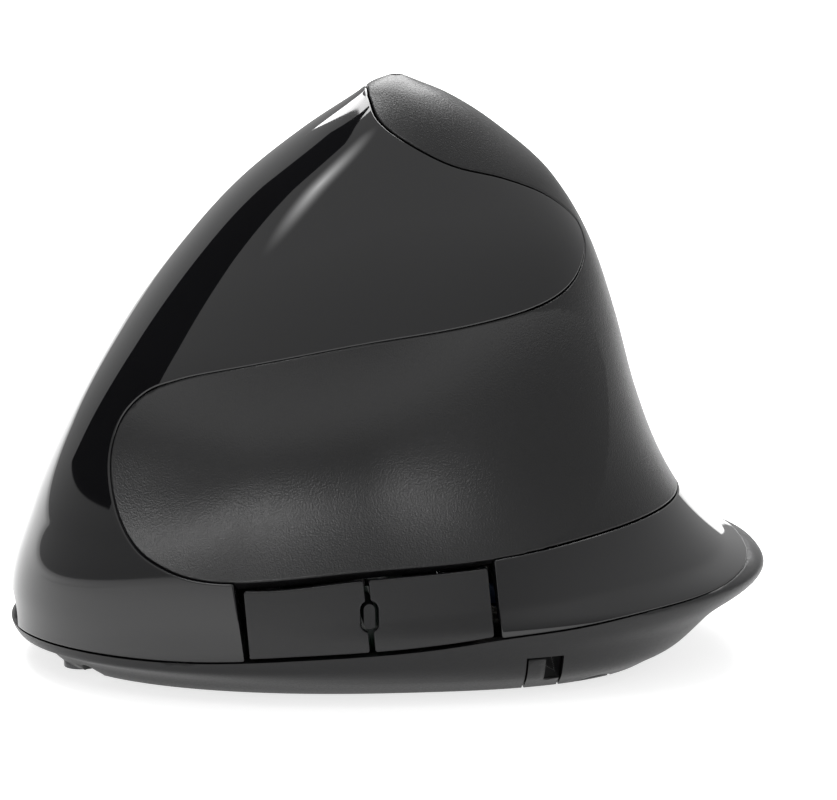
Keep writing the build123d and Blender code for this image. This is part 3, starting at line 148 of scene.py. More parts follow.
def skin_point(rise, turn, hollow=False):
    """Point of the skin at a rise (0 to 1) and a turn round it (radians), in millimetres."""
    front, rear, left, right, widest = [column(i, rise) for i in range(1, 6)]
    rear_n, right_n, left_n, dip = [column(i, rise) for i in range(6, 10)]
    middle_x, middle_y = (left + right) / 2, rear + widest * (front - rear)
    across, ahead = np.cos(turn), np.sin(turn)
    half_ahead = np.where(ahead > 0, front - middle_y, middle_y - rear)
    n = np.where(ahead > 0, np.where(across > 0, right_n, left_n), rear_n)
    radius = ((np.abs(across) * 2 / (right - left)) ** n + (np.abs(ahead) / half_ahead) ** n) ** (-1 / n)
    lift = underside + rise * (height - underside)

    def place(r):
        y = middle_y + r * ahead
        return np.stack([middle_x + r * across, y, lift - dip * y], -1)

    point = place(radius)
    if hollow:
        sunk = thumb_sink(point[..., 1], point[..., 2]) * (across < 0)
        point = place(radius - sunk)
    return point


print("crest", skin_point(np.array([1.0]), np.array([0.0])).round(2))

# %% [markdown]
# Each casing piece is a part of that skin, cut along its seams. The cut is exact: where a field
# of signed distance changes sign inside a triangle, the triangle is split at the zero. Then the
# edge is rounded over and carried down as a wall, as a moulded shell's edge is, and the inner
# face closes it. The normals are worked out with the surface, so that gloss shows no facets.

# %% Cut, round and close a skin
def unit(v):
    return v / np.maximum(np.linalg.norm(v, axis=-1, keepdims=True), 1e-12)


def clip(points, normals, faces, field):
    """Keep where the field is above zero, splitting the triangles that it crosses."""
    inside = field > 0
    count = inside[faces].sum(1)
    whole = faces[count == 3]
    made, new_points, new_normals, pieces = {}, [], [], [whole]
    for wanted in (1, 2):
        some = faces[count == wanted]
        if not len(some):
            continue
        lone = inside[some] if wanted == 1 else ~inside[some]
        start = lone.argmax(1)
        rows = np.arange(len(some))
        a, b, c = (some[rows, (start + k) % 3] for k in range(3))
        ids = []
        for p, q in ((a, b), (a, c)):
            low, high = np.minimum(p, q), np.maximum(p, q)
            share = field[low] / (field[low] - field[high])
            keys = low.astype(np.int64) * len(points) + high
            unique, first, back = np.unique(keys, return_index=True, return_inverse=True)
            known = np.array([made.get(k, -1) for k in unique.tolist()])
            fresh = np.flatnonzero(known < 0)
            known[fresh] = len(points) + sum(len(x) for x in new_points) + np.arange(len(fresh))
            made.update(zip(unique[fresh].tolist(), known[fresh].tolist()))
            pick = first[fresh]
            s = share[pick][:, None]
            new_points.append(points[low[pick]] * (1 - s) + points[high[pick]] * s)
            new_normals.append(normals[low[pick]] * (1 - s) + normals[high[pick]] * s)
            ids.append(known[back])
        ab, ac = ids
        if wanted == 1:
            pieces.append(np.stack([a, ab, ac], 1))
        else:
            pieces += [np.stack([ab, b, c], 1), np.stack([ab, c, ac], 1)]
    points, normals = np.vstack([points] + new_points), np.vstack([normals] + new_normals)
    faces = np.vstack(pieces)
    used, back = np.unique(faces, return_inverse=True)
    return points[used], normals[used], back.reshape(faces.shape)


def in_skin(field, points, normals, reach=3.0, step=0.01, least=0.12):
    """The field as the skin sees it: near its zero it is divided by the length of the part of its
    gradient g that lies in the skin, sqrt(g.g - (n.g)^2), so that a seam keeps its width where
    the skin slants away from the view that the seam is drawn in."""
    value = field(points)
    near = np.abs(value) < reach
    p, n = points[near], unit(normals[near])
    slopes = [(field(p + d) - field(p - d)) / (2 * step) for d in step * np.eye(3)]
    gradient = np.stack(slopes, -1)
    within = (gradient**2).sum(-1) - (gradient * n).sum(-1) ** 2
    value[near] /= np.sqrt(np.clip(within, least, 1))
    return value


def cut(patch, cuts):
    """Clip a patch by several fields in turn, each drawn in by a distance of its own."""
    for field, inset in cuts:
        patch = clip(*patch, in_skin(field, patch[0], patch[1]) - inset)
    return patch


def rim_edges(faces):
    """Edges that belong to one triangle only, in that triangle's own direction."""
    edges = np.vstack([faces[:, [0, 1]], faces[:, [1, 2]], faces[:, [2, 0]]])
    keys = np.sort(edges, 1)
    _, back, counts = np.unique(keys, axis=0, return_inverse=True, return_counts=True)
    return edges[counts[back.ravel()] == 1]


crease = math.radians(35)


def make_mesh(name, points, normals, faces):
    """Put points in millimetres and triangles into a mesh object. Where no normals are given, it
    is smooth up to the crease angle."""
    mesh = bpy.data.meshes.new(name)
    mesh.from_pydata((points * mm).tolist(), [], faces.tolist())
    mesh.polygons.foreach_set("use_smooth", np.ones(len(faces), bool))
    if normals is None:
        mesh.set_sharp_from_angle(angle=crease)
    else:
        mesh.normals_split_custom_set_from_vertices(unit(normals).tolist())
    mesh.update()
    piece = bpy.data.objects.new(name, mesh)
    bpy.context.scene.collection.objects.link(piece)
    print(name, len(points), "points", len(faces), "triangles")
    return piece


def shell_piece(name, points, normals, faces, edge_radius, thickness, steps=4):
    """Skin, rounded rim and inner face as one closed mesh. The rim leaves the skin by the sine of
    an angle and sinks by one minus its cosine, up to a quarter turn, then drops to the inside."""
    rim = rim_edges(faces)
    ring, local = np.unique(rim, return_inverse=True)
    local = local.reshape(rim.shape)
    along = unit(points[rim[:, 1]] - points[rim[:, 0]])
    side = np.cross(along, unit(normals[rim].mean(1)))
    outward = np.zeros((len(ring), 3))
    np.add.at(outward, local[:, 0], side)
    np.add.at(outward, local[:, 1], side)
    outward = unit(outward)
    up = unit(normals[ring])
    base = points[ring]
    layers, layer_normals, start = [points], [unit(normals)], len(points)
    rows = [ring]
    for k in range(1, steps + 1):
        turn = math.pi / 2 * k / steps
        sunk = edge_radius * (1 - math.cos(turn))
        layers.append(base + outward * edge_radius * math.sin(turn) - up * sunk)
        layer_normals.append(up * math.cos(turn) + outward * math.sin(turn))
        rows.append(start + np.arange(len(ring)))
        start += len(ring)
    for normal in (outward, -up):
        layers.append(base + outward * edge_radius - up * thickness)
        layer_normals.append(normal)
        rows.append(start + np.arange(len(ring)))
        start += len(ring)
    layers.append(points - unit(normals) * thickness)
    layer_normals.append(-unit(normals))
    rows.append(start + ring)
    every = [faces, faces[:, ::-1] + start]
    for k, (upper, lower) in enumerate(zip(rows, rows[1:])):
        if k == steps + 1:
            continue
        a, b = upper[local[:, 0]], upper[local[:, 1]]
        c, d = lower[local[:, 0]], lower[local[:, 1]]
        every += [np.stack([a, c, b], 1), np.stack([b, c, d], 1)]
    return make_mesh(name, np.vstack(layers), np.vstack(layer_normals), np.vstack(every))


def skin_patch(rises, turns, hollow=False, step=1e-4):
    """Grid of the skin over ranges of rise and turn, with normals from its neighbours."""
    rise, turn = np.meshgrid(rises, turns, indexing="ij")
    points = skin_point(rise, turn, hollow)
    low, high = np.clip(rise - step, 0, 1), np.clip(rise + step, 0, 1)
    climb = skin_point(high, turn, hollow) - skin_point(low, turn, hollow)
    run = skin_point(rise, turn + step, hollow) - skin_point(rise, turn - step, hollow)
    normals = unit(np.cross(run, climb))
    rows, columns = rise.shape
    index = np.arange(rows * columns).reshape(rows, columns)
    a, b = index[:-1, :-1].ravel(), index[:-1, 1:].ravel()
    c, d = index[1:, 1:].ravel(), index[1:, :-1].ravel()
    faces = np.vstack([np.stack([a, b, c], 1), np.stack([a, c, d], 1)])
    return points.reshape(-1, 3), normals.reshape(-1, 3), faces


# %% [markdown]
# The seams are drawn in side view, and the click keys' windows on the sloped finger side, as on
# the mould. A polygon's signed distance tells on which side of a seam a point lies, and how far.

# %% Seams as fields of signed distance
def polygon_distance(u, v, corners):
    """Distance to a closed outline, above zero inside it."""
    corners = np.asarray(corners, float)
    nearest = np.full(u.shape, 1e9)
    inside = np.zeros(u.shape, bool)
    for (x0, y0), (x1, y1) in zip(corners, np.roll(corners, -1, 0)):
        dx, dy = x1 - x0, y1 - y0
        t = np.clip(((u - x0) * dx + (v - y0) * dy) / max(dx * dx + dy * dy, 1e-9), 0, 1)
        nearest = np.minimum(nearest, np.hypot(u - x0 - t * dx, v - y0 - t * dy))
        if y0 != y1:
            inside ^= ((y0 > v) != (y1 > v)) & (u < dx * (v - y0) / dy + x0)
    return np.where(inside, nearest, -nearest)


def box_distance(u, v, half_u, half_v, corner):
    """Distance to a rectangle with round corners about zero, above zero inside it."""
    u, v = np.abs(u) - half_u + corner, np.abs(v) - half_v + corner
    return corner - np.hypot(np.maximum(u, 0), np.maximum(v, 0)) - np.minimum(np.maximum(u, v), 0)


def drawn_seam(shares, per_span=5):
    """A soft curve through the seam's points: Catmull-Rom, in millimetres of the side view."""
    p = np.array(shares) * (half_length, height)
    ends = np.vstack([2 * p[0] - p[1], p, 2 * p[-1] - p[-2]])
    t = np.linspace(0, 1, per_span, endpoint=False)[:, None, None]
    a, b, c, d = ends[:-3], ends[1:-2], ends[2:-1], ends[3:]
    square, cube = 2 * a - 5 * b + 4 * c - d, 3 * b - a - 3 * c + d
    curve = 0.5 * (2 * b + (c - a) * t + square * t**2 + cube * t**3)
    return np.vstack([curve.transpose(1, 0, 2).reshape(-1, 2), p[-1:]])


CAP_SEAM_SHARES = [
    (0.068, 0.970), (0.049, 0.937), (-0.019, 0.904), (-0.132, 0.867), (-0.264, 0.843),
    (-0.377, 0.811), (-0.460, 0.768), (-0.489, 0.729), (-0.475, 0.693), (-0.425, 0.661),
    (-0.330, 0.638), (-0.142, 0.616), (0.151, 0.589), (0.462, 0.549), (0.585, 0.526),
    (0.660, 0.500), (0.721, 0.451), (0.749, 0.384), (0.736, 0.311), (0.692, 0.256),
    (0.623, 0.226), (0.538, 0.211), (0.415, 0.211), (0.128, 0.229), (-0.213, 0.245),
    (-0.623, 0.278), (-1.20, 0.310),
]
FINGER_SEAM_SHARES = [
    (0.068, 0.970), (0.023, 0.939), (-0.079, 0.866), (-0.170, 0.756), (-0.215, 0.610),
    (-0.234, 0.463), (-0.249, 0.354), (-0.283, 0.300), (-0.368, 0.276), (-0.623, 0.278), (-1.20, 0.310),
]
PARTING_SHARES = [
    (-1.20, 0.215), (-0.92, 0.172), (-0.79, 0.157), (-0.62, 0.146), (-0.42, 0.130), (-0.23, 0.119),
    (-0.10, 0.108), (0.06, 0.098), (0.28, 0.088), (0.57, 0.074), (0.90, 0.070), (1.20, 0.066),
]
THUMB_FOOT_SHARES = np.array([
    (-0.623, 0.278), (-0.213, 0.245), (0.128, 0.229), (0.415, 0.211), (0.538, 0.211),
])
above = height + 40
split_x = -6.0
seam_top = [(CAP_SEAM_SHARES[-1][0] * half_length, above), (CAP_SEAM_SHARES[0][0] * half_length, above)]
thumb_seam = np.vstack([drawn_seam(CAP_SEAM_SHARES), seam_top])
finger_seam = np.vstack([drawn_seam(FINGER_SEAM_SHARES), seam_top])
parting_line = drawn_seam(PARTING_SHARES)


def palm_field(p):
    """Distance to the palm piece's seam: one outline on the thumb side, another beyond the crest."""
    thumb = polygon_distance(p[:, 1], p[:, 2], thumb_seam)
    finger = polygon_distance(p[:, 1], p[:, 2], finger_seam)
    return np.where(p[:, 0] < split_x, thumb, finger)


def above_parting(p):
    return p[:, 2] - np.interp(p[:, 1], parting_line[:, 0], parting_line[:, 1])


print("seam points", len(thumb_seam), len(finger_seam))

# %% [markdown]
# The click keys are cut out of the sloped side. Their corners are eased by an arc, so the outline
# is the sharp one drawn in by the arc's radius and then grown by it, which a distance field does
# by itself: shrink, measure, subtract. The side keys' ends lean back towards the foot.

# %% Windows of the keys
slope = math.radians(28)
ahead_way = np.array([0.0, 1.0, 0.0])
up_way = np.array([-math.sin(slope), 0, math.cos(slope)])
out_way = np.array([math.cos(slope), 0, math.sin(slope)])
spine, spine_half = 31.2, 3.8
LEFT_KEY = [(-5.5, spine + spine_half), (27.5, spine + spine_half), (14.5, 53.0), (-2.4, 53.5)]
RIGHT_KEY = [
    (-5.5, spine - spine_half), (32.0, spine - spine_half), (37.1, 12.3), (35.5, 7.5), (-5.5, 7.5),
]
key_corner = 2.2
wheel_middle, wheel_half = 19.2, 11.0
dpi_middle, dpi_half_length, dpi_half_width = -1.0, 3.9, 2.1
arch_half, arch_top, arch_corner = 7.2, 10.03, 3.8
pivot_height = 12.9
side_front, side_rear, side_split = 23.2, -11.7, 5.8
side_lean, side_front_lean = 4.5, 7.3
oval_height, oval_half_width, oval_straight, oval_gap = 13.1, 0.75, 0.9, 0.45
finger_side_out, finger_side_left, thumb_side_right, nose_rear = 22, -8, -20, 40
far_away, outline_points = 50.0, 13


def drawn_in(corners, distance):
    """The outline moved inwards by a distance, corner by corner along its two edges' normals."""
    c = np.array(corners, float)
    if np.sum(c[:, 0] * np.roll(c[:, 1], -1) - c[:, 1] * np.roll(c[:, 0], -1)) < 0:
        c = c[::-1]
    edge = unit(np.roll(c, -1, 0) - c)
    normal = np.stack([-edge[:, 1], edge[:, 0]], 1)
    before = np.roll(normal, 1, 0)
    return c + (before + normal) * distance / (1 + np.sum(before * normal, 1, keepdims=True))


def key_field(p, corners):
    """Distance to a click key's window with eased corners, above zero inside."""
    return polygon_distance(p[:, 1], p @ up_way, drawn_in(corners, key_corner)) + key_corner


def side_key_outline(rear, front, foot, top, front_lean):
    """Outline between the parting line and the thumb rest's foot, in side view."""
    share = np.linspace(0, 1, outline_points)
    y = rear + (front - rear) * share
    lean = np.tan(np.radians(side_lean + (front_lean - side_lean) * share))
    foot_line = np.interp(y, parting_line[:, 0], parting_line[:, 1]) + foot
    rest = THUMB_FOOT_SHARES * (half_length, height)
    top_line = smooth_curve(rest[:, 0], rest[:, 1], np.minimum(y, side_front)) - top
    low = np.stack([y + (foot_line - pivot_height) * lean, foot_line], 1)
    high = np.stack([y + (top_line - pivot_height) * lean, top_line], 1)
    return np.vstack([low, high[::-1]])


def where(test, field, elsewhere=far_away):
    """A field that counts only where the test holds; elsewhere it is far above or below zero."""
    return lambda p: np.where(test(p), field(p), elsewhere)


def on_finger_side(p):
    return (p @ out_way > finger_side_out) & (p[:, 0] > finger_side_left)


def on_thumb_side(p):
    return p[:, 0] < thumb_side_right


def on_nose(p):
    return p[:, 1] > nose_rear


print("key corners", len(LEFT_KEY), len(RIGHT_KEY))

# %% [markdown]
# The front casing is one glossy moulding: nose, upper thumb panel, belt and the spine that holds
# the wheel. It is cut from the skin by the palm's seam, the parting line and the windows.

# %% Front casing and palm rest
edge, wall, seam_gap = 0.25, 1.8, 0.2
skin_rows, skin_columns, lowest_rise = 190, 480, 0.02
even_rises = np.linspace(lowest_rise, 1, skin_rows)
rises = smooth_curve([0, 0.3, 0.9, 1], [0, 0.34, 0.955, 1], even_rises)
turns = np.linspace(0, 2 * math.pi, skin_columns)
window_foot, window_top, wheel_corner, dpi_corner = -3.0, -1.0, 0.3, dpi_half_width - 0.1
side_window = side_key_outline(side_rear, side_front, window_foot, window_top, side_front_lean)


def spine_window(p, middle, half_ahead, half_up, corner):
    """Distance to a window in the spine between the click keys, above zero inside."""
    return box_distance(p[:, 1] - middle, p @ up_way - spine, half_ahead, half_up, corner)


WINDOWS = [
    (on_finger_side, lambda p: key_field(p, LEFT_KEY)),
    (on_finger_side, lambda p: key_field(p, RIGHT_KEY)),
    (on_finger_side, lambda p: spine_window(p, wheel_middle, wheel_half, spine_half, wheel_corner)),
    (on_finger_side, lambda p: spine_window(p, dpi_middle, dpi_half_length, dpi_half_width, dpi_corner)),
    (on_thumb_side, lambda p: polygon_distance(p[:, 1], p[:, 2], side_window)),
    (on_nose, lambda p: box_distance(p[:, 0], p[:, 2], arch_half, arch_top, arch_corner)),
]
front_cuts = [(lambda p: -palm_field(p), edge), (above_parting, edge)]
front_cuts += [(where(test, lambda p, field=field: -field(p)), edge) for test, field in WINDOWS]
front_skin = shell_piece("front_shell_skin", *cut(skin_patch(rises, turns), front_cuts), edge, wall)
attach(front_skin, "casing")
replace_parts(front_skin, "front_shell")

hollowed = skin_patch(rises, turns, hollow=True)
palm_skin = shell_piece("palm_rest_skin", *cut(hollowed, [(palm_field, seam_gap + edge)]), edge, wall)
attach(palm_skin, "casing")
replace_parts(palm_skin, "palm_shell")

# %% [markdown]
# The keys are the same skin inside their windows, drawn in by the gap that lets them move. Each
# rides on its own body, so it presses in with its joint.

# %% Click keys and side keys
key_gap, side_gap, side_foot_gap, split_gap = 0.4, 1.0, 0.4, 0.35
side_corner, side_wall = 0.3, 1.6
click_rises, click_turns = np.linspace(0.2, 0.9, 150), np.linspace(-0.9, 1.5, 260)
side_rises, side_turns = np.linspace(0.04, 0.3, 150), np.linspace(2.4, 3.7, 300)
key_skins = {}
for name, corners in (("left_click", LEFT_KEY), ("right_click", RIGHT_KEY)):
    patch = skin_patch(click_rises, click_turns)
    field = where(on_finger_side, lambda p, corners=corners: key_field(p, corners), -far_away)
    key_skins[name] = shell_piece(f"{name}_skin", *cut(patch, [(field, key_gap + edge)]), edge, wall)
    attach(key_skins[name], name)
    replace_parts(key_skins[name], f"{name}_button")


def side_field(p, outline):
    """Distance to a side key's outline with eased corners, above zero inside."""
    return polygon_distance(p[:, 1], p[:, 2], outline) + side_corner


def oval_field(p):
    """Distance from the oval between the side keys, above zero outside its gap."""
    straight = np.maximum(np.abs(p[:, 2] - oval_height) - oval_straight, 0)
    return np.hypot(p[:, 1] - side_split, straight) - oval_half_width - oval_gap


SIDE_KEYS = [
    ("forward", side_split + split_gap, side_front - side_gap),
    ("back", side_rear + side_gap, side_split - split_gap),
]
for name, rear, front in SIDE_KEYS:
    outline = drawn_in(side_key_outline(rear, front, side_foot_gap, side_gap, side_lean), side_corner)
    field = where(on_thumb_side, lambda p, outline=outline: side_field(p, outline), -far_away)
    patch = skin_patch(side_rises, side_turns)
    patch = cut(patch, [(field, edge), (oval_field, edge)])
    key_skins[name] = shell_piece(f"{name}_key_skin", *patch, edge, side_wall)
    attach(key_skins[name], f"{name}_key")
    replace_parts(key_skins[name], f"{name}_button")

# %% [markdown]
# Behind each key is its lever: a knuckle round the pin, an arm to the skin, and a stem that stands
# over the switch. Each bar ends half-way inside the skin's wall, found by a ray from its foot.

# %% Levers behind the keys
BOX_FACES = [(0, 1, 3, 2), (4, 6, 7, 5), (0, 4, 5, 1), (2, 3, 7, 6), (0, 2, 6, 4), (1, 5, 7, 3)]


def brick(low, high, axes):
    """Box between two corners given along three directions."""
    ends = np.array([low, high], float)
    choices = [(i, j, k) for i in (0, 1) for j in (0, 1) for k in (0, 1)]
    corners = np.array([(ends[i, 0], ends[j, 1], ends[k, 2]) for i, j, k in choices])
    faces = [t for a, b, c, d in BOX_FACES for t in ((a, b, c), (a, c, d))]
    return corners @ np.array(axes), np.array(faces)


def ring(centre, axis, half, outer, inner, sides=48):
    """Bored round bar about an axis: the profile's four corners turned through a full circle."""
    side = unit(np.cross(axis, (0.3, 1.0, 0.2)))
    other = np.cross(axis, side)
    turn = np.linspace(0, 2 * math.pi, sides, endpoint=False)[:, None]
    round_way = np.cos(turn) * side + np.sin(turn) * other
    profile = [(outer, -half), (outer, half), (inner, half), (inner, -half)]
    points = np.vstack([centre + r * round_way + h * np.array(axis) for r, h in profile])
    k = np.arange(sides)
    after = (k + 1) % sides
    faces = []
    for i in range(4):
        p, q = i * sides, (i + 1) % 4 * sides
        faces += [np.stack([p + k, p + after, q + after], 1), np.stack([p + k, q + after, q + k], 1)]
    return points, np.vstack(faces)


def together(name, solids, body):
    """Several closed solids as one piece that rides on a body."""
    starts = np.cumsum([0] + [len(points) for points, _ in solids[:-1]])
    faces = np.vstack([faces + start for (_, faces), start in zip(solids, starts)])
    piece = make_mesh(name, np.vstack([points for points, _ in solids]), None, faces)
    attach(piece, body)
    return piece


def room_to(piece, low, high, axes):
    """Least distance from a bar's foot, along the third direction, to the skin in front of it."""
    mesh = piece.data
    corners = [vertex.co for vertex in mesh.vertices]
    tree = BVHTree.FromPolygons(corners, [tuple(face.vertices) for face in mesh.polygons])
    places = [(u, v, low[2]) for u in (low[0], high[0]) for v in (low[1], high[1])]
    feet = [np.array(place) @ np.array(axes) for place in places]
    hits = [tree.ray_cast(Vector(foot * mm), Vector(axes[2]))[3] for foot in feet]
    return min(hit for hit in hits if hit) / mm


def bar_to_skin(piece, low, high, axes):
    """Box from a foot up into the skin's wall."""
    reach = low[2] + room_to(piece, low, high, axes) + wall / 2
    return brick(low, (high[0], high[1], reach), axes)


def span_of(node, way):
    """Least and greatest place of a solid's points along a direction, in millimetres."""
    mesh = frame["nodes"][node].data
    points = np.empty(len(mesh.vertices) * 3, np.float32)
    mesh.vertices.foreach_get("co", points)
    along = points.reshape(-1, 3) @ np.array(way) / mm
    return along.min(), along.max()


JOINTS = {joint["name"]: joint for joint in frame["record"]["behaviour"]["joints"]}
finger_axes = [ahead_way, up_way, out_way]
thumb_axes = [np.array([0.0, 0.0, 1.0]), ahead_way, np.array([-1.0, 0.0, 0.0])]
knuckle_half, knuckle_radius, knuckle_bore = 6.0, 2.0, 0.84
arm_half, arm_front, arm_rear, web = 0.9, 3.5, 1.0, 2.7
stem_half, press_gap, switch_ahead = 1.6, 0.5, 14.0
for name in ("left_click", "right_click"):
    hinge = np.array(JOINTS[f"{name}_press"]["pos_m"]) / mm
    ahead, up, out = hinge @ ahead_way, hinge @ up_way, hinge @ out_way
    front = ahead + knuckle_half + arm_front
    arm_low = (ahead + arm_rear, up - knuckle_half, out - arm_half)
    arm = brick(arm_low, (front, up + knuckle_half, out + arm_half), finger_axes)
    web_low = (front - web, up - knuckle_half, out - arm_half)
    web_bar = bar_to_skin(key_skins[name], web_low, (front, up + knuckle_half), finger_axes)
    stem_foot = span_of(f"{name}_switch", out_way)[1] + press_gap
    stem_low = (switch_ahead - stem_half, up - stem_half, stem_foot)
    stem_high = (switch_ahead + stem_half, up + stem_half)
    stem = bar_to_skin(key_skins[name], stem_low, stem_high, finger_axes)
    knuckle = ring(hinge, up_way, knuckle_half, knuckle_radius, knuckle_bore)
    together(f"{name}_lever", [arm, web_bar, stem, knuckle], name)

side_knuckle_half, side_knuckle_radius, side_bore = 1.9, 1.5, 0.64
side_stem_half, side_press_gap, switch_offset = 1.3, 0.55, 5.2
for name, way in (("forward", 1), ("back", -1)):
    pivot = np.array(JOINTS[f"{name}_press"]["pos_m"]) / mm
    knuckle = ring(pivot, (0.0, 0.0, 1.0), side_knuckle_half, side_knuckle_radius, side_bore)
    neck_low = (pivot[2] - side_knuckle_half, pivot[1] - side_knuckle_radius, -pivot[0] + side_bore)
    neck_high = (pivot[2] + side_knuckle_half, pivot[1] + side_knuckle_radius)
    neck = bar_to_skin(key_skins[name], neck_low, neck_high, thumb_axes)
    y = side_split + way * switch_offset
    out = -span_of(f"{name}_switch", (1, 0, 0))[0] + side_press_gap
    stem_low = (pivot[2] - side_stem_half, y - side_stem_half, out)
    stem_high = (pivot[2] + side_stem_half, y + side_stem_half)
    stem = bar_to_skin(key_skins[name], stem_low, stem_high, thumb_axes)
    together(f"{name}_key_lever", [knuckle, neck, stem], f"{name}_key")

# %% [markdown]
# The cells rest against conical springs. Each is one wire: a point that turns round the cell's
# axis while it moves along it and draws closer, with a circle swept along that path.

# %% Battery springs
wire, coils, base_radius, tip_radius = 0.28, 4.5, 3.1, 1.9
plate_face, spring_length = 24.05, 3.4
cell_height, cell_rows, spring_points = 8.25, (-11.7, -23.0), 160


def swept(path, radius, axis, sides=10):
    """Tube of round section along a path that never runs along the axis."""
    tangent = unit(np.gradient(path, axis=0))
    side = unit(np.cross(tangent, axis))
    other = np.cross(tangent, side)
    turn = np.linspace(0, 2 * math.pi, sides, endpoint=False)[None, :, None]
    points = path[:, None] + radius * (np.cos(turn) * side[:, None] + np.sin(turn) * other[:, None])
    count = len(path)
    k, j = np.meshgrid(np.arange(count - 1), np.arange(sides), indexing="ij")
    a, b = (k * sides + j).ravel(), (k * sides + (j + 1) % sides).ravel()
    faces = [np.stack([a, b, b + sides], 1), np.stack([a, b + sides, a + sides], 1)]
    around = np.arange(sides)
    first, last = count * sides, count * sides + 1
    faces.append(np.stack([np.full(sides, first), (around + 1) % sides, around], 1))
    tail = (count - 1) * sides
    faces.append(np.stack([np.full(sides, last), tail + around, tail + (around + 1) % sides], 1))
    return np.vstack([points.reshape(-1, 3), path[:1], path[-1:]]), np.vstack(faces)


springs = []
for y, way in zip(cell_rows, (-1, 1)):
    t = np.linspace(0, 1, spring_points)
    spread = base_radius + (tip_radius - base_radius) * t
    x = way * (plate_face - wire - (spring_length - 2 * wire) * t)
    turn = 2 * math.pi * coils * t
    path = np.stack([x, y + spread * np.cos(turn), cell_height + spread * np.sin(turn)], 1)
    springs.append(swept(path, wire, np.array([1.0, 0.0, 0.0])))
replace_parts(together("battery_coils", springs, "casing"), "battery_springs")

# %% [markdown]
# The solids that stay come as facets. A copy of each rounded one has its doubled points merged
# and is shaded smooth, with a sharp edge wherever two faces meet at more than the crease angle.

# %% Smooth copies of the rounded solids
ROUNDED = [
    "bottom_shell", "battery_door", "nose_plug", "button_divider", "dpi_button", "wheel_tyre",
    "wheel_hub", "wheel_carrier", "inner_frame", "battery_front", "battery_rear", "front_glide_foot",
    "rear_glide_foot", "case_screws", "board_screws", "sensor_lens", "illumination_led",
    "power_switch_knob", "usb_receiver_body", "click_hinge_pin", "click_ribbon", "side_ribbon",
]
merge_distance = 1e-6
BODIES = frame["record"]["behaviour"]["bodies"]
body_of = {node: body for body, nodes in BODIES.items() for node in nodes}
for node in ROUNDED:
    mesh = frame["nodes"][node].data.copy()
    shape = bmesh.new()
    shape.from_mesh(mesh)
    bmesh.ops.remove_doubles(shape, verts=shape.verts, dist=merge_distance)
    shape.to_mesh(mesh)
    shape.free()
    mesh.shade_smooth()
    mesh.set_sharp_from_angle(angle=crease)
    piece = bpy.data.objects.new(f"{node}_smooth", mesh)
    bpy.context.scene.collection.objects.link(piece)
    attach(piece, body_of[node])
    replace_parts(piece, node)
print("smooth copies", len(ROUNDED))

# %% [markdown]
# Finishes. Moulded plastic is never one flat colour: it has a fine grain and small changes of
# gloss. Each finish is one principled shader with noise in object space for its roughness and
# its bump. The matte ones have a low specular level, as their texture traps the light.

# %% Finishes
broad_scale, coat_rough, gloss_spread = 45.0, 0.04, 0.25


def finish(name, colour, rough, grain=0.0, scale=900.0, vary=0.06, metal=0.0, coat=0.0, level=0.5,
           clear=0.0):
    """One moulded or metal finish: grain is the bump's depth in metres, scale its fineness."""
    material = bpy.data.materials.new(name)
    material.use_nodes = True
    nodes, links = material.node_tree.nodes, material.node_tree.links
    shader = nodes["Principled BSDF"]
    shader.inputs["Metallic"].default_value = metal
    shader.inputs["Coat Weight"].default_value = coat
    shader.inputs["Coat Roughness"].default_value = coat_rough
    shader.inputs["Specular IOR Level"].default_value = level
    shader.inputs["Transmission Weight"].default_value = clear
    place = nodes.new("ShaderNodeTexCoord")
    fine = nodes.new("ShaderNodeTexNoise")
    fine.inputs["Scale"].default_value = scale
    fine.inputs["Detail"].default_value = 3.0
    broad = nodes.new("ShaderNodeTexNoise")
    broad.inputs["Scale"].default_value = broad_scale
    for noise in (fine, broad):
        links.new(place.outputs["Object"], noise.inputs["Vector"])
    tone = nodes.new("ShaderNodeMapRange")
    tone.inputs["To Min"].default_value = 1 - vary * 2
    tone.inputs["To Max"].default_value = 1 + vary * 2
    links.new(broad.outputs["Fac"], tone.inputs["Value"])
    tint = nodes.new("ShaderNodeVectorMath")
    tint.operation = "SCALE"
    tint.inputs[0].default_value = colour
    links.new(tone.outputs["Result"], tint.inputs["Scale"])
    links.new(tint.outputs["Vector"], shader.inputs["Base Color"])
    gloss = nodes.new("ShaderNodeMapRange")
    gloss.inputs["To Min"].default_value = rough * (1 - gloss_spread)
    gloss.inputs["To Max"].default_value = min(rough * (1 + gloss_spread), 1)
    links.new((fine if grain else broad).outputs["Fac"], gloss.inputs["Value"])
    links.new(gloss.outputs["Result"], shader.inputs["Roughness"])
    if grain:
        bump = nodes.new("ShaderNodeBump")
        bump.inputs["Distance"].default_value = grain
        bump.inputs["Strength"].default_value = 1.0
        links.new(fine.outputs["Fac"], bump.inputs["Height"])
        links.new(bump.outputs["Normal"], shader.inputs["Normal"])
    return material


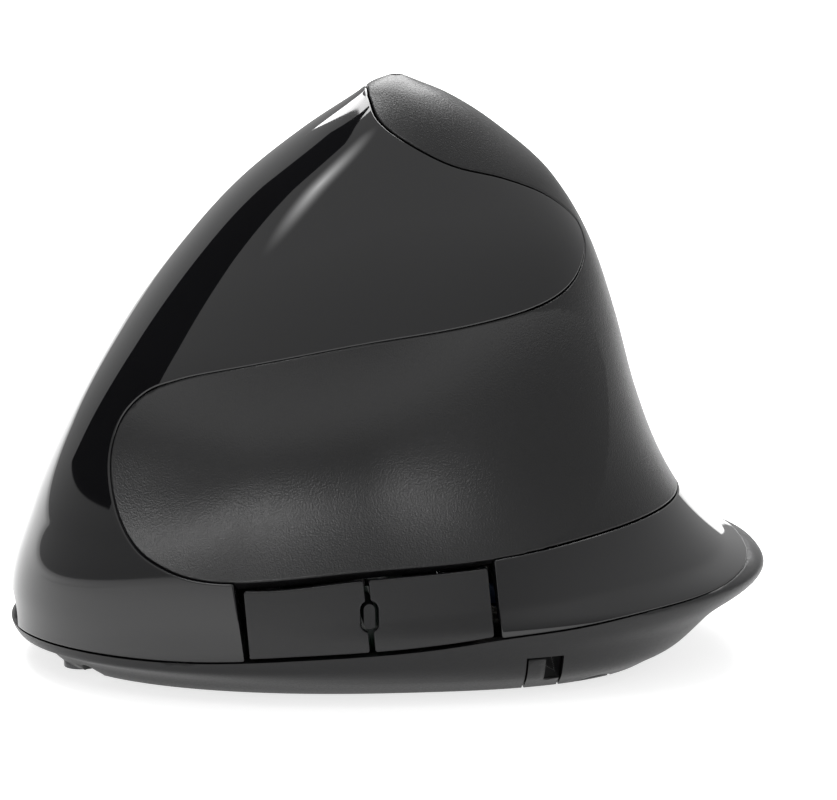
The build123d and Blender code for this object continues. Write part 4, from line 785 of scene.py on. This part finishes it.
FINISHES = {
    "gloss_black": finish("piano_black", (0.004, 0.004, 0.0045), 0.04),
    "soft_touch": finish("soft_touch", (0.004, 0.004, 0.0043), 0.36, grain=5e-5, scale=4200, level=0.3),
    "base_plastic": finish(
        "fine_matte_base", (0.008, 0.008, 0.0085), 0.40, grain=2e-5, scale=3600, level=0.3),
    "side_satin": finish("satin_keys", (0.008, 0.008, 0.0085), 0.34, grain=1e-5, scale=3600, level=0.35),
    "frame_plastic": finish("moulded_frame", (0.02, 0.02, 0.022), 0.45, grain=2e-5),
    "wheel_rubber": finish(
        "wheel_rubber", (0.012, 0.012, 0.013), 0.6, grain=3e-5, scale=1600, level=0.35),
    "wheel_plastic": finish("wheel_core", (0.05, 0.05, 0.055), 0.35),
    "switch_black": finish("switch_body", (0.012, 0.012, 0.013), 0.42, grain=1e-5),
    "circuit_board": finish("solder_mask", (0.004, 0.03, 0.014), 0.3, coat=0.4, vary=0.12),
    "lens_clear": finish("clear_moulding", (0.8, 0.84, 0.86), 0.06, clear=0.8),
    "cell_jacket": finish("cell_sleeve", (0.05, 0.1, 0.24), 0.25, coat=0.6),
    "steel": finish("screw_steel", (0.5, 0.5, 0.51), 0.3, metal=1.0, vary=0.1),
    "nickel": finish("nickel_plate", (0.66, 0.64, 0.6), 0.2, metal=1.0, vary=0.1),
    "receiver_plastic": finish("receiver_matte", (0.02, 0.02, 0.022), 0.5, grain=2e-5),
    # Painted shade: a near-black finish that reflects almost nothing, standing in for the shade inside
    # the nose's arch.
    "recess_black": finish("recess_black", (0.001, 0.001, 0.001), 0.9, level=0.05),
    "ribbon_film": finish("ribbon_film", (0.02, 0.02, 0.022), 0.4),
    "glide": finish("glide_sheet", (0.07, 0.07, 0.075), 0.3),
}
SLOTS = {entry["node"]: entry["material_slot"] for entry in frame["record"]["subparts"]}
DRESS = {
    "front_shell_skin": "gloss_black", "palm_rest_skin": "soft_touch",
    "left_click_skin": "gloss_black", "right_click_skin": "gloss_black",
    "forward_key_skin": "side_satin", "back_key_skin": "side_satin",
    "left_click_lever": "gloss_black", "right_click_lever": "gloss_black",
    "forward_key_lever": "side_satin", "back_key_lever": "side_satin", "battery_coils": "nickel",
}
DRESS.update({f"{node}_smooth": SLOTS[node] for node in ROUNDED})
# The nose plug wears the painted shade of the arch's recess in place of its own finish.
DRESS["nose_plug_smooth"] = "recess_black"
for piece, slot in DRESS.items():
    mesh = bpy.data.objects[piece].data
    mesh.materials.clear()
    mesh.materials.append(FINISHES[slot])
for name, node in frame["nodes"].items():
    node.data.materials.clear()
    node.data.materials.append(FINISHES[SLOTS[name]])
print("finishes", len(FINISHES))

# %% [markdown]
# The stage is a pale floor with a faint glow of its own, under a sky that is dim at the horizon
# and bright overhead, so that hardly a shadow falls and the gloss mirrors a pale field. A tall
# black card by the nose gives the gloss its dark strip, and a panel that fades out at its rim
# gives the soft streak beside it. One light stands beyond the crest, and a small one shines on
# the palm piece only, for the sheen in its hollow.

# %% Stage and light
def quad(name, corners, material):
    """A flat piece of the stage."""
    mesh = bpy.data.meshes.new(name)
    mesh.from_pydata([tuple(c) for c in corners], [], [(0, 1, 2, 3)])
    mesh.materials.append(material)
    mesh.uv_layers.new(name="panel")
    piece = bpy.data.objects.new(name, mesh)
    bpy.context.scene.collection.objects.link(piece)


def card(name, azimuth, distance, width, low, high):
    """Black card that stands upright and faces the body. Its azimuth turns from -X towards +Y."""
    turn = math.radians(azimuth)
    middle = distance * np.array([-math.cos(turn), math.sin(turn)])
    across = width / 2 * np.array([math.sin(turn), math.cos(turn)])
    a, b = middle - across, middle + across
    corners = [(*a, low), (*b, low), (*b, high), (*a, high)]
    quad(name, corners, finish(name, (0.002, 0.002, 0.002), 1.0, level=0.0))


CORNER_SIGNS = [(-1, -1), (1, -1), (1, 1), (-1, 1)]
floor_half, floor_glow = 4.0, 0.75
floor_finish = finish("pale_floor", (0.5, 0.5, 0.5), 0.7, vary=0.0, level=0.2)
floor_shader = floor_finish.node_tree.nodes["Principled BSDF"]
floor_shader.inputs["Emission Color"].default_value = (1, 1, 1, 1)
floor_shader.inputs["Emission Strength"].default_value = floor_glow
quad("floor", [(floor_half * u, floor_half * v, 0) for u, v in CORNER_SIGNS], floor_finish)
card("front_card", azimuth=102, distance=0.35, width=0.30, low=0.065, high=0.86)
glow_target, light_target, sky_base = Vector((-0.03, 0, 0.05)), Vector((0, 0, 0.04)), 0.05


def glow(name, place, size, strength):
    """Light panel that looks at the body and fades out towards its rim: (1 - r)**2 of its radius."""
    toward = (glow_target - Vector(place)).normalized()
    across = toward.cross(Vector((0, 0, 1))).normalized() * size[0] / 2
    upward = across.cross(toward).normalized() * size[1] / 2
    middle = Vector(place)
    material = bpy.data.materials.new(name)
    material.use_nodes = True
    nodes, links = material.node_tree.nodes, material.node_tree.links
    nodes.remove(nodes["Principled BSDF"])
    place_uv = nodes.new("ShaderNodeTexCoord")
    centred = nodes.new("ShaderNodeVectorMath")
    centred.operation = "MULTIPLY_ADD"
    centred.inputs[1].default_value = (2, 2, 0)
    centred.inputs[2].default_value = (-1, -1, 0)
    falloff = nodes.new("ShaderNodeTexGradient")
    falloff.gradient_type = "QUADRATIC_SPHERE"
    light = nodes.new("ShaderNodeEmission")
    clear = nodes.new("ShaderNodeBsdfTransparent")
    mix = nodes.new("ShaderNodeMixShader")
    light.inputs["Strength"].default_value = strength
    links.new(place_uv.outputs["UV"], centred.inputs[0])
    links.new(centred.outputs["Vector"], falloff.inputs["Vector"])
    links.new(falloff.outputs["Fac"], mix.inputs["Fac"])
    links.new(clear.outputs["BSDF"], mix.inputs[1])
    links.new(light.outputs["Emission"], mix.inputs[2])
    links.new(mix.outputs["Shader"], nodes["Material Output"].inputs["Surface"])
    quad(name, [middle + across * u + upward * v for u, v in CORNER_SIGNS], material)


def toward_sky(azimuth, elevation, distance):
    """Place at an azimuth from -X towards +Y and an elevation, both in degrees."""
    turn, rise = math.radians(azimuth), math.radians(elevation)
    flat = distance * math.cos(rise)
    return (-flat * math.cos(turn), flat * math.sin(turn), distance * math.sin(rise) + sky_base)


glow("crease_glow", toward_sky(azimuth=52, elevation=56, distance=0.7), size=(0.22, 0.46), strength=11.0)


def soft_light(name, place, size, power):
    """A square light that looks at the middle of the body."""
    data = bpy.data.lights.new(name, "AREA")
    data.size, data.energy = size, power
    light = bpy.data.objects.new(name, data)
    light.location = place
    light.rotation_euler = (light_target - Vector(place)).to_track_quat("-Z", "Y").to_euler()
    bpy.context.scene.collection.objects.link(light)
    return light


horizon, zenith, bright_from = 0.45, 0.95, 0.6
world = bpy.data.worlds.new("studio")
world.use_nodes = True
nodes, links = world.node_tree.nodes, world.node_tree.links
direction = nodes.new("ShaderNodeTexCoord")
parts = nodes.new("ShaderNodeSeparateXYZ")
links.new(direction.outputs["Generated"], parts.inputs["Vector"])
sky = nodes.new("ShaderNodeMapRange")
sky.inputs["From Min"].default_value, sky.inputs["From Max"].default_value = 0.0, bright_from
sky.inputs["To Min"].default_value, sky.inputs["To Max"].default_value = horizon, zenith
links.new(parts.outputs["Z"], sky.inputs["Value"])
links.new(sky.outputs["Result"], nodes["Background"].inputs["Strength"])
nodes["Background"].inputs["Color"].default_value = (1, 1, 1, 1)
bpy.context.scene.world = world
soft_light("overhead", place=(0.62, 0.0, 1.0), size=1.0, power=34.0)
hollow_place = toward_sky(azimuth=27, elevation=38, distance=0.8)
hollow_light = soft_light("hollow_light", hollow_place, size=0.12, power=2.5)
rest_only = bpy.data.collections.new("thumb_rest")
rest_only.objects.link(palm_skin)
hollow_light.light_linking.receiver_collection = rest_only
